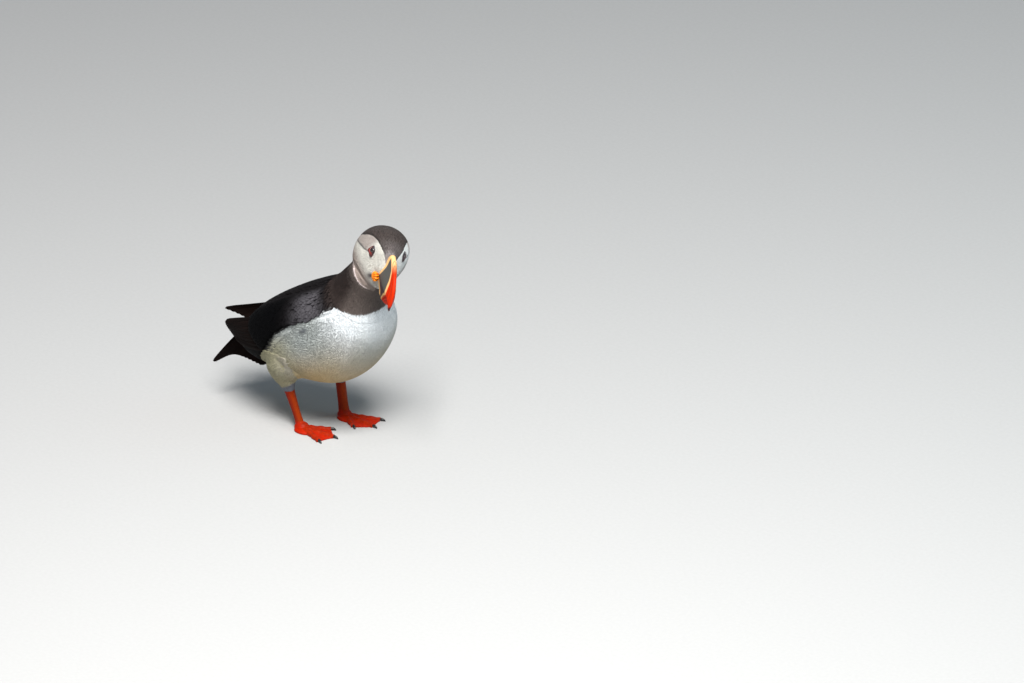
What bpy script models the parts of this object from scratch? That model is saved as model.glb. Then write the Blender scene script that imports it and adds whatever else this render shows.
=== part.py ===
"""An Atlantic puffin, life size, standing on both feet with its head turned to its right and bent down.

Metres, +Z up. The bird heads along +X, its left side is +Y and the floor is z = 0. Trunk and neck are one
flowing form, parted at the collar. Mantle and wings are feathered shells over it. What sinks into a
neighbour sits in a pocket that is a thin gap wider than itself.
"""

import bmesh
import bpy
import numpy as np
from mathutils import Euler, Matrix, Vector

MM = 0.001
GAP = 0.35 * MM
POCKET = 0.45 * MM

# Trunk and neck from the rump to the inside of the head: where a section meets the back, as x and z, where
# it meets the belly, and its half-width.
BODY_SECTIONS = MM * np.array([
    (-86, 66, -81, 54, 13),
    (-75, 79, -70, 50, 22),
    (-60, 93.5, -52, 47, 31),
    (-41, 107, -30, 45, 38),
    (-17, 121, 0, 43, 43),
    (3, 131, 32, 48, 45),
    (15, 136.5, 55, 66, 43),
    (22, 140.5, 70, 95, 37.5),
    (28, 148, 63, 119, 28),
    (42, 162.5, 67, 140, 23),
    (53, 174, 74, 154, 22),
])
BODY_FULLNESS = 2.15
COLLAR = 0.79
NECK_END = 0.95
SEAM = 0.003

# Feathered shells over the body. The mantle reaches MANTLE_TURN to each side of the back's mid-line. A wing's
# rows run from the shoulder to its rear: t along the body and turn of its upper edge, then of its lower edge.
MANTLE_TURN = np.radians(22)
MANTLE_ENDS = (0.2, 0.785)
MANTLE_THICKNESS = 3.0 * MM
WING_EDGES = np.array([
    (0.785, 23, 0.75, 84),
    (0.64, 23, 0.62, 69),
    (0.49, 23, 0.48, 68),
    (0.36, 23, 0.38, 83),
    (0.226, 23, 0.318, 101),
]) * (1, np.radians(1), 1, np.radians(1))
WING_REAR_BULGE = 0.045
WING_THICKNESS = 4.5 * MM
EDGE_THICKNESS = 1.1 * MM

# Flight feathers beyond the wing's rear edge: where their tips end, from the uppermost to the lowest, from
# which share of the rear edge they start, and the t where they leave the body.
QUILL_TIPS = {
    "right": MM * np.array([(-101, -8, 69.5), (-98, -9.5, 67), (-90, -13.5, 64.5), (-78, -21, 63.5)]),
    "left": MM * np.array([(-118, 10, 70), (-104, 10, 70), (-92, 14, 66), (-78, 21, 63.5)]),
}
QUILLS_FROM = 0.3
QUILLS_LEAVE = 0.16
QUILL_THICKNESS = 1.8 * MM

# Tail: its root, the tips of its left outer, middle and right outer feathers, and the root's half-width.
TAIL_ROOT = MM * np.array((-79, 0, 64))
TAIL_TIPS = MM * np.array([(-84, 24, 21), (-97, 0, 36), (-100.5, -26, 37)])
TAIL_ROOT_WIDTH = 9 * MM
TAIL_THICKNESS = 2.4 * MM

HEAD_PLACE = MM * Vector((86, -15.3, 168.4))
HEAD_YAW, HEAD_PITCH, HEAD_ROLL = np.radians((-43, 12, -14))

# Head from the nape to the base of the bill, in the head's own frame: x, crown, throat, half-width, and how
# far the middle of the section lies behind its ends.
HEAD_SECTIONS = MM * np.array([
    (-50, 2, -9, 5, 0),
    (-46, 12, -18, 13, 0),
    (-38, 20.5, -25, 20.5, 0),
    (-26, 25.3, -27, 24, 0),
    (-14, 25.2, -25.5, 19.5, 1),
    (-4, 21.5, -22, 13.5, 4),
    (3, 17, -18, 8.5, 7),
])
HEAD_FULLNESS = 2.1

EYE_PLACE = MM * Vector((-11, 14.9, 10))
EYE_SIZE = MM * np.array((4.4, 3.2, 4.4))
ROSETTE_PLACE = MM * Vector((0.5, 9.6, -5.5))
ROSETTE_SIZE = MM * np.array((4.0, 3.0, 3.8))

# Halves of the bill from base to tip: the ridge or keel, as x and z, the cutting edge, and the half-width.
UPPER_BILL = MM * np.array([
    (3, 17.5, -3, -4, 7.8),
    (12, 18.5, 7, -4, 7.3),
    (22, 16.5, 17, -4.4, 6.4),
    (32, 11.5, 27, -4.8, 5.2),
    (41, 3, 37, -5.4, 3.6),
    (46, -8, 44, -10, 1.2),
])
LOWER_BILL = MM * np.array([
    (5, -20.5, -3, -4.5, 7.0),
    (13, -20.5, 6, -4.5, 6.4),
    (21, -18.5, 16, -4.9, 5.5),
    (29, -15.0, 26, -5.3, 4.3),
    (36.5, -11, 35, -6.2, 2.9),
    (41, -9.6, 41, -8.4, 1.2),
])
RIM_SHARE = 0.13
RIM_SWELL = 1.06

# Legs: where each ankle stands and where its heel joint is. Feathered thighs: x, y and z of the middle,
# half-length fore and aft, half-width.
ANKLES = {"right": MM * Vector((-3.2, -21.5, 0)), "left": MM * Vector((7.5, 22.3, 0))}
HEELS = {"right": MM * Vector((-15.3, -22.5, 31)), "left": MM * Vector((3.8, 21.5, 31))}
SHANK_RADII = MM * np.array([(4.3, 4.1), (3.6, 3.3), (3.2, 3.0), (3.8, 3.6)])
THIGHS = {
    "right": MM * np.array([
        (-21, -26, 66, 15, 14),
        (-22, -26, 55, 16.5, 14),
        (-21.5, -25, 45, 13.5, 11),
        (-18, -23.5, 37, 7.8, 7),
        (-15.8, -22.5, 31.7, 5.4, 5.4),
    ]),
    "left": MM * np.array([
        (-8, 25, 66, 16, 14),
        (-6, 25, 56, 16, 13),
        (-1, 23.5, 47, 12, 10),
        (3, 22, 39, 7, 6.5),
        (3.8, 21.5, 31.7, 5.2, 5.2),
    ]),
}

# Webbed feet: each foot's heading, the toes' angles from it on a left foot, and their lengths.
FOOT_HEADINGS = {"right": np.radians(4), "left": np.radians(-4)}
TOES = {
    "inner": (np.radians(-28), 25 * MM),
    "middle": (0.0, 34 * MM),
    "outer": (np.radians(26), 32 * MM),
}
TOE_WIDTH = 2.5 * MM
HUB_HEIGHT = 5 * MM
HUB_RADIUS = 4.6 * MM
WEB_THICKNESS = 1.3 * MM
CLAW_LENGTH = 5.5 * MM
CLAW_RADIUS = 1.35 * MM


def along(table, t):
    """The table's columns at t, 0 at its first row and 1 at its last, on a smooth curve through each row."""
    spans = len(table) - 1
    place = np.clip(t, 0, 1) * spans
    first = np.minimum(place.astype(int), spans - 1)
    k = (place - first)[..., None]
    padded = np.vstack([2 * table[0] - table[1], table, 2 * table[-1] - table[-2]])
    a, b, c, d = (padded[first + i] for i in range(4))
    return 0.5 * (2 * b + (c - a) * k + (2 * a - 5 * b + 4 * c - d) * k**2 + (3 * (b - c) + d - a) * k**3)


def unit(vectors):
    return vectors / (np.linalg.norm(vectors, axis=-1, keepdims=True) + 1e-12)


def rounded(angle, fullness):
    """Cosine and sine of the angle, bulged from a circle to a fuller oval."""
    cosine, sine = np.cos(angle), np.sin(angle)
    power = 2 / fullness
    return np.sign(cosine) * np.abs(cosine) ** power, np.sign(sine) * np.abs(sine) ** power


def swell(share, power):
    """0 at both ends of the share and 1 midway."""
    return np.sin(np.pi * np.clip(share, 0, 1)) ** power


def full_turn(count):
    return np.linspace(0, 2 * np.pi, count, endpoint=False)


def points(*coordinates):
    """Points from arrays of x, y and z of any sizes that broadcast."""
    return np.stack(np.broadcast_arrays(*coordinates), -1)


def body_surface(t, turn):
    """Points of trunk and neck at t along the body and at a turn from the back towards the left."""
    back_x, back_z, belly_x, belly_z, half_width = np.moveaxis(along(BODY_SECTIONS, t), -1, 0)
    up, side = rounded(turn, BODY_FULLNESS)
    x = (back_x + belly_x) / 2 + up * (back_x - belly_x) / 2
    z = (back_z + belly_z) / 2 + up * (back_z - belly_z) / 2
    return points(x, half_width * side, z)


def body(t, turn, lift=0.0):
    """The same, lifted off the surface along its normal."""
    t, turn = np.broadcast_arrays(np.asarray(t, float), np.asarray(turn, float))
    step = 1e-3
    ahead = body_surface(t + step, turn) - body_surface(t - step, turn)
    across = body_surface(t, turn + step) - body_surface(t, turn - step)
    return body_surface(t, turn) + unit(np.cross(ahead, across)) * np.asarray(lift)[..., None]


def head_surface(t, turn):
    """Points of the head in its own frame, from the nape at t = 0 to the base of the bill at 1."""
    x, crown, throat, half_width, bow = np.moveaxis(along(HEAD_SECTIONS, t), -1, 0)
    up, side = rounded(turn, HEAD_FULLNESS)
    z = (crown + throat) / 2 + up * (crown - throat) / 2
    return points(x - bow * (1 - up**2), half_width * side, z)


def bill_half(table, t, larger=1.0):
    """Rings of half a bill: an arch from the left cutting edge over ridge or keel to the right one."""
    ridge_x, ridge_z, edge_x, edge_z, half_width = np.moveaxis(along(table, t[:, None]), -1, 0)
    sweep = np.linspace(0, np.pi, 11)
    height, side = np.sin(sweep) ** 0.9 * larger, np.cos(sweep) * larger
    return points(edge_x + height * (ridge_x - edge_x), half_width * side, edge_z + height * (ridge_z - edge_z))


def wing_place(a, b):
    """t and turn of a wing's point at a from shoulder to rear and b from its upper to its lower edge."""
    t_top, turn_top, t_low, turn_low = np.moveaxis(along(WING_EDGES, a), -1, 0)
    t = t_top + b * (t_low - t_top) - WING_REAR_BULGE * a**3 * np.sin(np.pi * b)
    return t, turn_top + b * (turn_low - turn_top)


def material(name, colour, roughness):
    """A plain Principled material."""
    made = bpy.data.materials.new(name)
    made.use_nodes = True
    shader = made.node_tree.nodes["Principled BSDF"]
    shader.inputs["Base Color"].default_value = (*colour, 1)
    shader.inputs["Roughness"].default_value = roughness
    return made


def solid(name, vertices, faces, paint, place=None):
    """A named object of the vertices and faces, shaded smooth, at a place given by a matrix."""
    mesh = bpy.data.meshes.new(name)
    mesh.from_pydata(vertices.reshape(-1, 3).tolist(), [], faces)
    mesh.shade_smooth()
    mesh.materials.append(paint)
    made = bpy.data.objects.new(name, mesh)
    bpy.context.scene.collection.objects.link(made)
    if place is not None:
        made.matrix_world = place
    return made


def loft(name, rings, paint, place=None):
    """A capped solid through closed rings, each counted clockwise as seen looking along the form."""
    count, around = rings.shape[:2]
    i, j = (index.ravel() for index in np.mgrid[0:count - 1, 0:around])
    after = (j + 1) % around
    sides = np.stack([i * around + j, i * around + after, (i + 1) * around + after, (i + 1) * around + j], -1)
    start = list(range(around))[::-1]
    end = list(range((count - 1) * around, count * around))
    return solid(name, rings, sides.tolist() + [start, end], paint, place)


def slab(name, outer, inner, paint):
    """A solid between two grids of one size, walled along their borders. Seen from outside, the grid's second
    direction lies left of its first."""
    rows, columns = outer.shape[:2]
    index = np.arange(rows * columns).reshape(rows, columns)
    top = np.stack([index[:-1, :-1], index[1:, :-1], index[1:, 1:], index[:-1, 1:]], -1).reshape(-1, 4)
    below = top[:, ::-1] + rows * columns
    border = np.concatenate([index[:-1, 0], index[-1, :-1], index[:0:-1, -1], index[0, :0:-1]])
    after = np.roll(border, -1)
    wall = np.stack([border, border + rows * columns, after + rows * columns, after], -1)
    faces = np.concatenate([top, below, wall]).tolist()
    return solid(name, np.concatenate([outer.reshape(-1, 3), inner.reshape(-1, 3)]), faces, paint)


def pocket(target, *neighbours):
    """Cuts the neighbours, a little larger than they are, out of the target."""
    for neighbour in neighbours:
        grown = bmesh.new()
        grown.from_mesh(neighbour.data)
        moves = [vertex.normal * vertex.calc_shell_factor() * POCKET for vertex in grown.verts]
        for vertex, move in zip(grown.verts, moves):
            vertex.co += move
        mesh = bpy.data.meshes.new("cutter_" + neighbour.name)
        grown.to_mesh(mesh)
        grown.free()
        cutter = bpy.data.objects.new("cutter_" + neighbour.name, mesh)
        cutter.matrix_world = neighbour.matrix_world
        cutter.hide_render = True
        cutter.display_type = "WIRE"
        bpy.context.scene.collection.objects.link(cutter)
        cut = target.modifiers.new("pocket for " + neighbour.name, "BOOLEAN")
        cut.operation = "DIFFERENCE"
        cut.solver = "EXACT"
        cut.object = cutter


def make_trunk():
    return loft("trunk", body(np.linspace(0, COLLAR - SEAM, 22)[:, None], -full_turn(30)), WHITE)


def make_neck():
    return loft("neck", body(np.linspace(COLLAR, NECK_END, 6)[:, None], -full_turn(30)), BLACK)


def make_head(place):
    return loft("head", head_surface(np.linspace(0, 1, 17)[:, None], -full_turn(26)), WHITE, place)


def make_ball(name, centre, size, paint, place):
    """An ellipsoid in the head's frame."""
    latitude = np.linspace(-np.pi / 2, np.pi / 2, 9)[1:-1, None]
    turn = -full_turn(12)
    sphere = points(np.sin(latitude), np.cos(latitude) * np.sin(turn), np.cos(latitude) * np.cos(turn))
    return loft(name, sphere * size + np.array(centre), paint, place)


def make_bill(place):
    """Upper and lower half and the raised rim at the base of each."""
    on_bill, on_rim = np.linspace(RIM_SHARE, 1, 10), np.linspace(0, RIM_SHARE - 0.01, 3)
    pieces = {
        "bill_upper": loft("bill_upper", bill_half(UPPER_BILL, on_bill), HORN, place),
        "bill_lower": loft("bill_lower", bill_half(LOWER_BILL, on_bill)[:, ::-1], HORN, place),
        "rim_upper": loft("rim_upper", bill_half(UPPER_BILL, on_rim, RIM_SWELL), CREAM, place),
        "rim_lower": loft("rim_lower", bill_half(LOWER_BILL, on_rim, RIM_SWELL)[:, ::-1], CREAM, place),
    }
    pocket(pieces["bill_lower"], pieces["bill_upper"])
    return list(pieces.values())


def make_mantle():
    a, b = np.linspace(0, 1, 15)[:, None], np.linspace(0, 1, 7)
    t = MANTLE_ENDS[0] + a * (MANTLE_ENDS[1] - MANTLE_ENDS[0])
    turn = MANTLE_TURN * (2 * b - 1)
    thick = EDGE_THICKNESS + (MANTLE_THICKNESS - EDGE_THICKNESS) * swell(a, 0.6)
    return slab("mantle", body(t, turn, GAP + thick), body(t, turn, GAP), BLACK)


def make_wing(side, sign):
    a, b = np.linspace(0, 1, 15)[:, None], np.linspace(0, 1, 10)
    t, turn = wing_place(a, b)
    thick = EDGE_THICKNESS + (WING_THICKNESS - EDGE_THICKNESS) * swell(b, 0.5) * swell(0.08 + 0.8 * a, 0.4)
    outer, inner = body(t, sign * turn, GAP + thick), body(t, sign * turn, GAP)
    if side == "left":
        outer, inner = outer[:, ::-1], inner[:, ::-1]
    return slab("wing_" + side, outer, inner, BLACK)


def make_quills(side, sign):
    """The flight feathers: each strand leaves the wing's rear edge, hugs the flank and ends at its tip."""
    share, k = np.linspace(0, 1, 8), np.linspace(0, 1, 10)[:, None, None]
    t, turn = wing_place(np.array(1.0), QUILLS_FROM + (1 - QUILLS_FROM) * share)
    start = body(t - 0.008, sign * turn, GAP + EDGE_THICKNESS)
    flank = body(np.full_like(turn, QUILLS_LEAVE), sign * turn, 3 * MM)
    strands = (1 - k)**2 * start + 2 * k * (1 - k) * flank + k**2 * along(QUILL_TIPS[side], share)
    normal = unit(np.cross(np.gradient(strands, axis=0), np.gradient(strands, axis=1))) * -sign
    half = QUILL_THICKNESS / 2 * (1 - 0.35 * k)
    outer, inner = strands + normal * half, strands - normal * half
    if side == "left":
        outer, inner = outer[:, ::-1], inner[:, ::-1]
    return slab("quills_" + side, outer, inner, BLACK)


def make_tail():
    """A fan whose feathers run from a narrow root to tips on a smooth curve through TAIL_TIPS."""
    b, k = np.linspace(-1, 1, 13), np.linspace(0, 1, 6)[:, None, None]
    left = unit(TAIL_TIPS[0] - TAIL_TIPS[2])
    roots = TAIL_ROOT - b[:, None] * left * TAIL_ROOT_WIDTH
    middle = roots + k * (along(TAIL_TIPS, (b + 1) / 2) - roots)
    normal = unit(np.cross(np.gradient(middle, axis=0), np.gradient(middle, axis=1)))
    half = TAIL_THICKNESS / 2 * (1 - 0.6 * k)
    return slab("tail", middle + normal * half, middle - normal * half, BLACK)


def limb(table, around):
    """Level rings of a limb through the table's rows: x, y, z, half-length fore and aft, half-width."""
    t = np.linspace(0, 1, 2 * len(table) - 1)[:, None]
    x, y, z, long, wide = np.moveaxis(along(table, t), -1, 0)
    turn = -full_turn(around)
    return points(x + long * np.cos(turn), y + wide * np.sin(turn), z)


def make_thigh(side):
    return loft("thigh_" + side, limb(THIGHS[side], 16), WHITE)


def make_leg(side):
    """The shank, from just under the thigh's end to just over the foot's hub."""
    heel, ankle = HEELS[side], ANKLES[side] + Vector((0, 0, HUB_HEIGHT + GAP))
    middles = [heel.lerp(ankle, share) for share in (0, 0.25, 0.6, 1)]
    return loft("leg_" + side, limb(np.hstack([middles, SHANK_RADII]), 12), ORANGE)


def toe_headings(side, sign):
    """Each toe's name, heading and length, ordered by heading."""
    toes = [(name, FOOT_HEADINGS[side] + sign * angle, length) for name, (angle, length) in TOES.items()]
    return sorted(toes, key=lambda toe: toe[1])


def make_foot(side, sign):
    """A webbed foot, flat below, as rings of rays from the ankle. A ray reaches as far as toe, web or heel pad
    does, and its height is that of hub, toe ridge or web, whichever is highest."""
    toes = toe_headings(side, sign)
    heading = np.array([toe[1] for toe in toes])
    length = np.array([toe[2] for toe in toes])
    on_toes = (heading[:, None] + np.radians([-5.5, -3, 0, 3, 5.5])).ravel()
    on_webs = [np.linspace(start, end, 7)[2:-2] for start, end in zip(heading[:-1], heading[1:])]
    behind = np.linspace(heading[-1], heading[0] + 2 * np.pi, 12)[1:-1]
    ray = np.sort(np.concatenate([on_toes, *on_webs, behind]))

    off = ray[:, None] - heading
    ahead = np.cos(off) > 0
    toe_reach = ahead * np.minimum(length, TOE_WIDTH / np.maximum(np.abs(np.sin(off)), 1e-6))
    reach = np.maximum(toe_reach.max(1), HUB_RADIUS)
    between = np.interp(ray, heading, np.arange(len(toes))) % 1
    web_reach = np.interp(ray, heading, length) * (0.97 - 0.13 * np.sin(np.pi * between))
    reach = np.where((ray > heading[0]) & (ray < heading[-1]), np.maximum(reach, web_reach), reach)

    radius = np.array([0.14, 0.28, 0.45, 0.62, 0.8, 0.94, 1.0])[:, None] * reach
    aside = np.abs(radius[..., None] * np.sin(off)) / (TOE_WIDTH * 1.05)
    ridge = ahead * (4.4 - 1.4 * radius[..., None] / length) * MM * np.sqrt(np.maximum(0, 1 - aside**2))
    hub = HUB_HEIGHT * np.clip(2.2 - radius / HUB_RADIUS, 0, 1)
    height = np.maximum(np.maximum(ridge.max(-1), hub), WEB_THICKNESS)
    height[-1] = 0.5 * height[-1] + 0.3 * MM
    x, y = ANKLES[side].x + radius * np.cos(ray), ANKLES[side].y + radius * np.sin(ray)
    rings = points(x, y, height)
    sole = rings[-1:] * (1, 1, 0)
    return loft("foot_" + side, np.concatenate([rings, sole])[:, ::-1], ORANGE)


def make_claws(side, sign):
    """A claw in front of each toe, bending down until its tip is at the floor."""
    k, turn = np.linspace(0, 1, 5)[:, None], full_turn(7)
    radius = CLAW_RADIUS * (1 - 0.8 * k**1.5)
    for name, heading, length in toe_headings(side, sign):
        forward = length + GAP + CLAW_LENGTH * np.sin(k * 1.2) / np.sin(1.2)
        rise = CLAW_RADIUS + 0.15 * MM + 1.0 * MM * k * (1 - k) - (CLAW_RADIUS * 0.8) * k**2
        reach, aside = forward, radius * np.cos(turn)
        x = ANKLES[side].x + reach * np.cos(heading) - aside * np.sin(heading)
        y = ANKLES[side].y + reach * np.sin(heading) + aside * np.cos(heading)
        loft(f"claw_{side}_{name}", points(x, y, rise + radius * np.sin(turn)), CLAW)


def centre_on_floor():
    """Moves everything so that the solids' box stands on the floor with its middle over the origin."""
    bpy.context.view_layer.update()
    objects = list(bpy.context.scene.objects)
    shown = [item for item in objects if not item.hide_render]
    corners = np.array([item.matrix_world @ vertex.co for item in shown for vertex in item.data.vertices])
    low, high = corners.min(0), corners.max(0)
    shift = Vector((-(low[0] + high[0]) / 2, -(low[1] + high[1]) / 2, -low[2]))
    for item in objects:
        item.location += shift


for item in list(bpy.data.objects):
    bpy.data.objects.remove(item, do_unlink=True)

BLACK = material("black_plumage", (0.03, 0.027, 0.026), 0.8)
WHITE = material("white_plumage", (0.8, 0.79, 0.76), 0.85)
ORANGE = material("orange_skin", (0.8, 0.16, 0.02), 0.5)
HORN = material("orange_horn", (0.75, 0.09, 0.02), 0.4)
CREAM = material("cream_horn", (0.85, 0.6, 0.25), 0.45)
EYE = material("dark_eye", (0.02, 0.015, 0.012), 0.1)
CLAW = material("black_claw", (0.02, 0.02, 0.02), 0.35)

head_turn = Euler((HEAD_ROLL, HEAD_PITCH, HEAD_YAW), "XYZ").to_matrix().to_4x4()
head_place = Matrix.Translation(HEAD_PLACE) @ head_turn
trunk, neck, head = make_trunk(), make_neck(), make_head(head_place)
bill = make_bill(head_place)
tail, mantle = make_tail(), make_mantle()
eyes, rosettes, quills, thighs = [], [], [], []
for side, sign in (("right", -1), ("left", 1)):
    mirror = Vector((1, sign, 1))
    eyes.append(make_ball("eye_" + side, EYE_PLACE * mirror, EYE_SIZE, EYE, head_place))
    rosettes.append(make_ball("rosette_" + side, ROSETTE_PLACE * mirror, ROSETTE_SIZE, CREAM, head_place))
    make_wing(side, sign)
    quills.append(make_quills(side, sign))
    thighs.append(make_thigh(side))
    make_leg(side)
    make_foot(side, sign)
    make_claws(side, sign)

for piece in bill:
    pocket(piece, *rosettes)
pocket(head, *bill, *eyes, *rosettes)
pocket(neck, head)
pocket(trunk, tail, *thighs, *quills)
centre_on_floor()
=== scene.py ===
"""Looks of a life-size Atlantic puffin: one skin under a coat of feathers, with bill, eyes, legs and feet.


Lengths are in metres. Shapes are worked out in the bird's own frame, whose origin lies on the floor between
the ankles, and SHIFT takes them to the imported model's frame when a mesh is made. Every form is a surface
P(t, turn): t runs along the form and turn goes round it, so that the cross product of the two directions
points outwards.
"""

import bpy
import numpy as np
from mathutils import Euler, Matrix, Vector


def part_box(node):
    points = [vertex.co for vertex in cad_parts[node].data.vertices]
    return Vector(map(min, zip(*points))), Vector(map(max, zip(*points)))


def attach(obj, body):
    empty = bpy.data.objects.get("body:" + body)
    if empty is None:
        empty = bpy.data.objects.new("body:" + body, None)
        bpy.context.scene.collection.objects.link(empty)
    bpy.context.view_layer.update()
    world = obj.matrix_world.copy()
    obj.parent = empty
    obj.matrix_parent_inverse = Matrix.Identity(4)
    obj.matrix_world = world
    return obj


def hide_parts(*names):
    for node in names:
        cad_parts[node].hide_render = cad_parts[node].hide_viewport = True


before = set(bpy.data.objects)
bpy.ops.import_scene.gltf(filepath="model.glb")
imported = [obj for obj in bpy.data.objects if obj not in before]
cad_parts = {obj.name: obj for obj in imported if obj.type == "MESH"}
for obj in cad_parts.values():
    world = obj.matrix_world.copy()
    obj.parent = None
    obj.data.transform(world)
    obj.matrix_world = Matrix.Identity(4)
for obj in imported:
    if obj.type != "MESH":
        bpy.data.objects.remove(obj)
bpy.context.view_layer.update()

MM = 0.001
# How far to either side of a place a surface is read for its slopes.
STEP = 1e-3
SIDES = (("right", -1), ("left", 1))


# ---- The bird's forms, as the solids have them -------------------------------------------------------------

# Trunk and neck: where a section meets the back, as x and z, where it meets the belly, and its half-width.
BODY_SECTIONS = MM * np.array([
    (-86, 66, -81, 54, 13),
    (-75, 79, -70, 50, 22),
    (-60, 93.5, -52, 47, 31),
    (-41, 107, -30, 45, 38),
    (-17, 121, 0, 43, 43),
    (3, 131, 32, 48, 45),
    (15, 136.5, 55, 66, 43),
    (22, 140.5, 70, 95, 37.5),
    (28, 148, 63, 119, 28),
    (42, 162.5, 67, 140, 23),
    (53, 174, 74, 154, 22),
])
BODY_FULLNESS = 2.15
# The trunk's solid ends just below this t, and the skin's neck inside the head at NECK_END.
COLLAR = 0.79
SEAM = 0.003
NECK_END = 0.95
TRUNK_GRID = (22, 30)

# The back between the wings: how far it reaches to each side as turn, and its ends as t.
MANTLE_TURN = np.radians(22)
MANTLE_ENDS = (0.2, 0.785)
MANTLE_THICKNESS = 3.0 * MM
# A wing's edges from shoulder to rear: t and turn of the upper edge, and of the lower one.
WING_EDGES = np.array([
    (0.785, 23, 0.75, 84),
    (0.64, 23, 0.62, 69),
    (0.49, 23, 0.48, 68),
    (0.36, 23, 0.38, 83),
    (0.226, 23, 0.318, 101),
]) * (1, np.radians(1), 1, np.radians(1))
WING_REAR_BULGE = 0.045
WING_THICKNESS = 4.5 * MM
EDGE_THICKNESS = 1.1 * MM

HEAD_PLACE = MM * Vector((86, -15.3, 168.4))
HEAD_YAW, HEAD_PITCH, HEAD_ROLL = np.radians((-43, 12, -14))
# The head from nape to bill, in its own frame: x, crown, throat, half-width, and how far its sides bow back.
HEAD_SECTIONS = MM * np.array([
    (-50, 2, -9, 5, 0),
    (-46, 12, -18, 13, 0),
    (-38, 20.5, -25, 20.5, 0),
    (-26, 25.3, -27, 24, 0),
    (-14, 25.2, -25.5, 19.5, 1),
    (-4, 21.5, -22, 13.5, 4),
    (3, 17, -18, 8.5, 7),
])
HEAD_FULLNESS = 2.1
MUZZLE_PLACE = MM * np.array((-9, 0.8, 3))
MUZZLE_SIZE = MM * np.array((15, 9, 15))

# Thighs from the belly down to the heel: their axis as x, y and z, and their radii along and across the bird.
THIGHS = {
    "right": MM * np.array([
        (-20, -25.5, 66, 14.5, 14),
        (-20.5, -25.5, 55, 15, 13.3),
        (-20, -24.5, 45, 11.7, 10.2),
        (-17.3, -23.5, 37, 6.7, 6.3),
        (-15.8, -22.5, 31.7, 4.9, 4.9),
    ]),
    "left": MM * np.array([
        (-8, 25, 66, 16, 14),
        (-6, 25, 56, 16, 13),
        (-1, 23.5, 47, 12, 10),
        (3, 22, 39, 7, 6.5),
        (3.8, 21.5, 31.7, 5.2, 5.2),
    ]),
}

# Folds of skin that ease the belly into the thighs, in the same way.
FOLDS = {
    "right": MM * np.array([(-4, -23, 64, 15, 14), (-10, -23.5, 54, 13, 12), (-16, -23.5, 44, 9, 9)]),
    "left": MM * np.array([(10, 23, 64, 15, 14), (7, 23.5, 54, 12, 12), (3, 23, 45, 8.5, 9)]),
}

# How deep the skin lies under the tips of the coat.
TRUNK_COAT = 1.0 * MM
NECK_COAT = 1.0 * MM
FACE_COAT = 0.9 * MM
WING_COAT = 1.5 * MM
THIGH_COAT = 1.0 * MM
SKIN_VOXEL = 1.1 * MM
SKIN_SMOOTHING = 24
# How far the flesh of wings and back reaches into the trunk.
FLESH_DEPTH = 6 * MM


def along(table, t):
    """The table's columns at t, 0 at the first row and 1 at the last, on a Catmull-Rom curve."""
    spans = len(table) - 1
    place = np.clip(t, 0, 1) * spans
    first = np.minimum(place.astype(int), spans - 1)
    k = (place - first)[..., None]
    padded = np.vstack([2 * table[0] - table[1], table, 2 * table[-1] - table[-2]])
    a, b, c, d = (padded[first + i] for i in range(4))
    return 0.5 * (2 * b + (c - a) * k + (2 * a - 5 * b + 4 * c - d) * k**2 + (3 * (b - c) + d - a) * k**3)


def unit(vectors):
    """Vectors of the same directions and of length 1."""
    return vectors / (np.linalg.norm(vectors, axis=-1, keepdims=True) + 1e-12)


def rounded(angle, fullness):
    """Cosine and sine of the angle, bulged from a circle to a fuller oval."""
    cosine, sine = np.cos(angle), np.sin(angle)
    power = 2 / fullness
    return np.sign(cosine) * np.abs(cosine) ** power, np.sign(sine) * np.abs(sine) ** power


def swell(share, power):
    """0 at both ends of the share and 1 midway."""
    return np.sin(np.pi * np.clip(share, 0, 1)) ** power


def full_turn(count):
    """Evenly spaced angles once round, without the last one."""
    return np.linspace(0, 2 * np.pi, count, endpoint=False)


def points(*coordinates):
    """Points from arrays of their coordinates, spread to one shape."""
    return np.stack(np.broadcast_arrays(*coordinates), -1)


def body(t, turn):
    """Trunk and neck. Before t = 0 the rump tapers on in a straight line."""
    t, turn = np.broadcast_arrays(np.asarray(t, float), turn)
    taper = (along(BODY_SECTIONS, np.array(0.05)) - BODY_SECTIONS[0]) / 0.05
    sections = along(BODY_SECTIONS, t) + np.minimum(t, 0)[..., None] * taper
    back_x, back_z, belly_x, belly_z, half_width = np.moveaxis(sections, -1, 0)
    up, side = rounded(turn, BODY_FULLNESS)
    x = (back_x + belly_x) / 2 + up * (back_x - belly_x) / 2
    z = (back_z + belly_z) / 2 + up * (back_z - belly_z) / 2
    return points(x, half_width * side, z)


HEAD_TURN = np.array(Euler((HEAD_ROLL, HEAD_PITCH, HEAD_YAW), "XYZ").to_matrix())


def from_head(place):
    """Points of the head's own frame, in the bird's frame."""
    return place @ HEAD_TURN.T + np.array(HEAD_PLACE)


def to_head(place):
    """Points of the bird's frame, in the head's own frame."""
    return (place - np.array(HEAD_PLACE)) @ HEAD_TURN


def head(t, turn):
    """The head from the nape at t = 0 to the base of the bill at 1."""
    t, turn = np.broadcast_arrays(np.asarray(t, float), turn)
    x, crown, throat, half_width, bow = np.moveaxis(along(HEAD_SECTIONS, t), -1, 0)
    up, side = rounded(turn, HEAD_FULLNESS)
    z = (crown + throat) / 2 + up * (crown - throat) / 2
    return from_head(points(x - bow * (1 - up**2), half_width * side, z))


def limb(table):
    """The surface of a thigh or shank: level ovals round an axis, from the table's first row to its last."""
    def surface(t, turn):
        t, turn = np.broadcast_arrays(np.asarray(t, float), turn)
        x, y, z, long, wide = np.moveaxis(along(table, t), -1, 0)
        return points(x + long * np.cos(turn), y + wide * np.sin(turn), z)
    return surface


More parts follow.
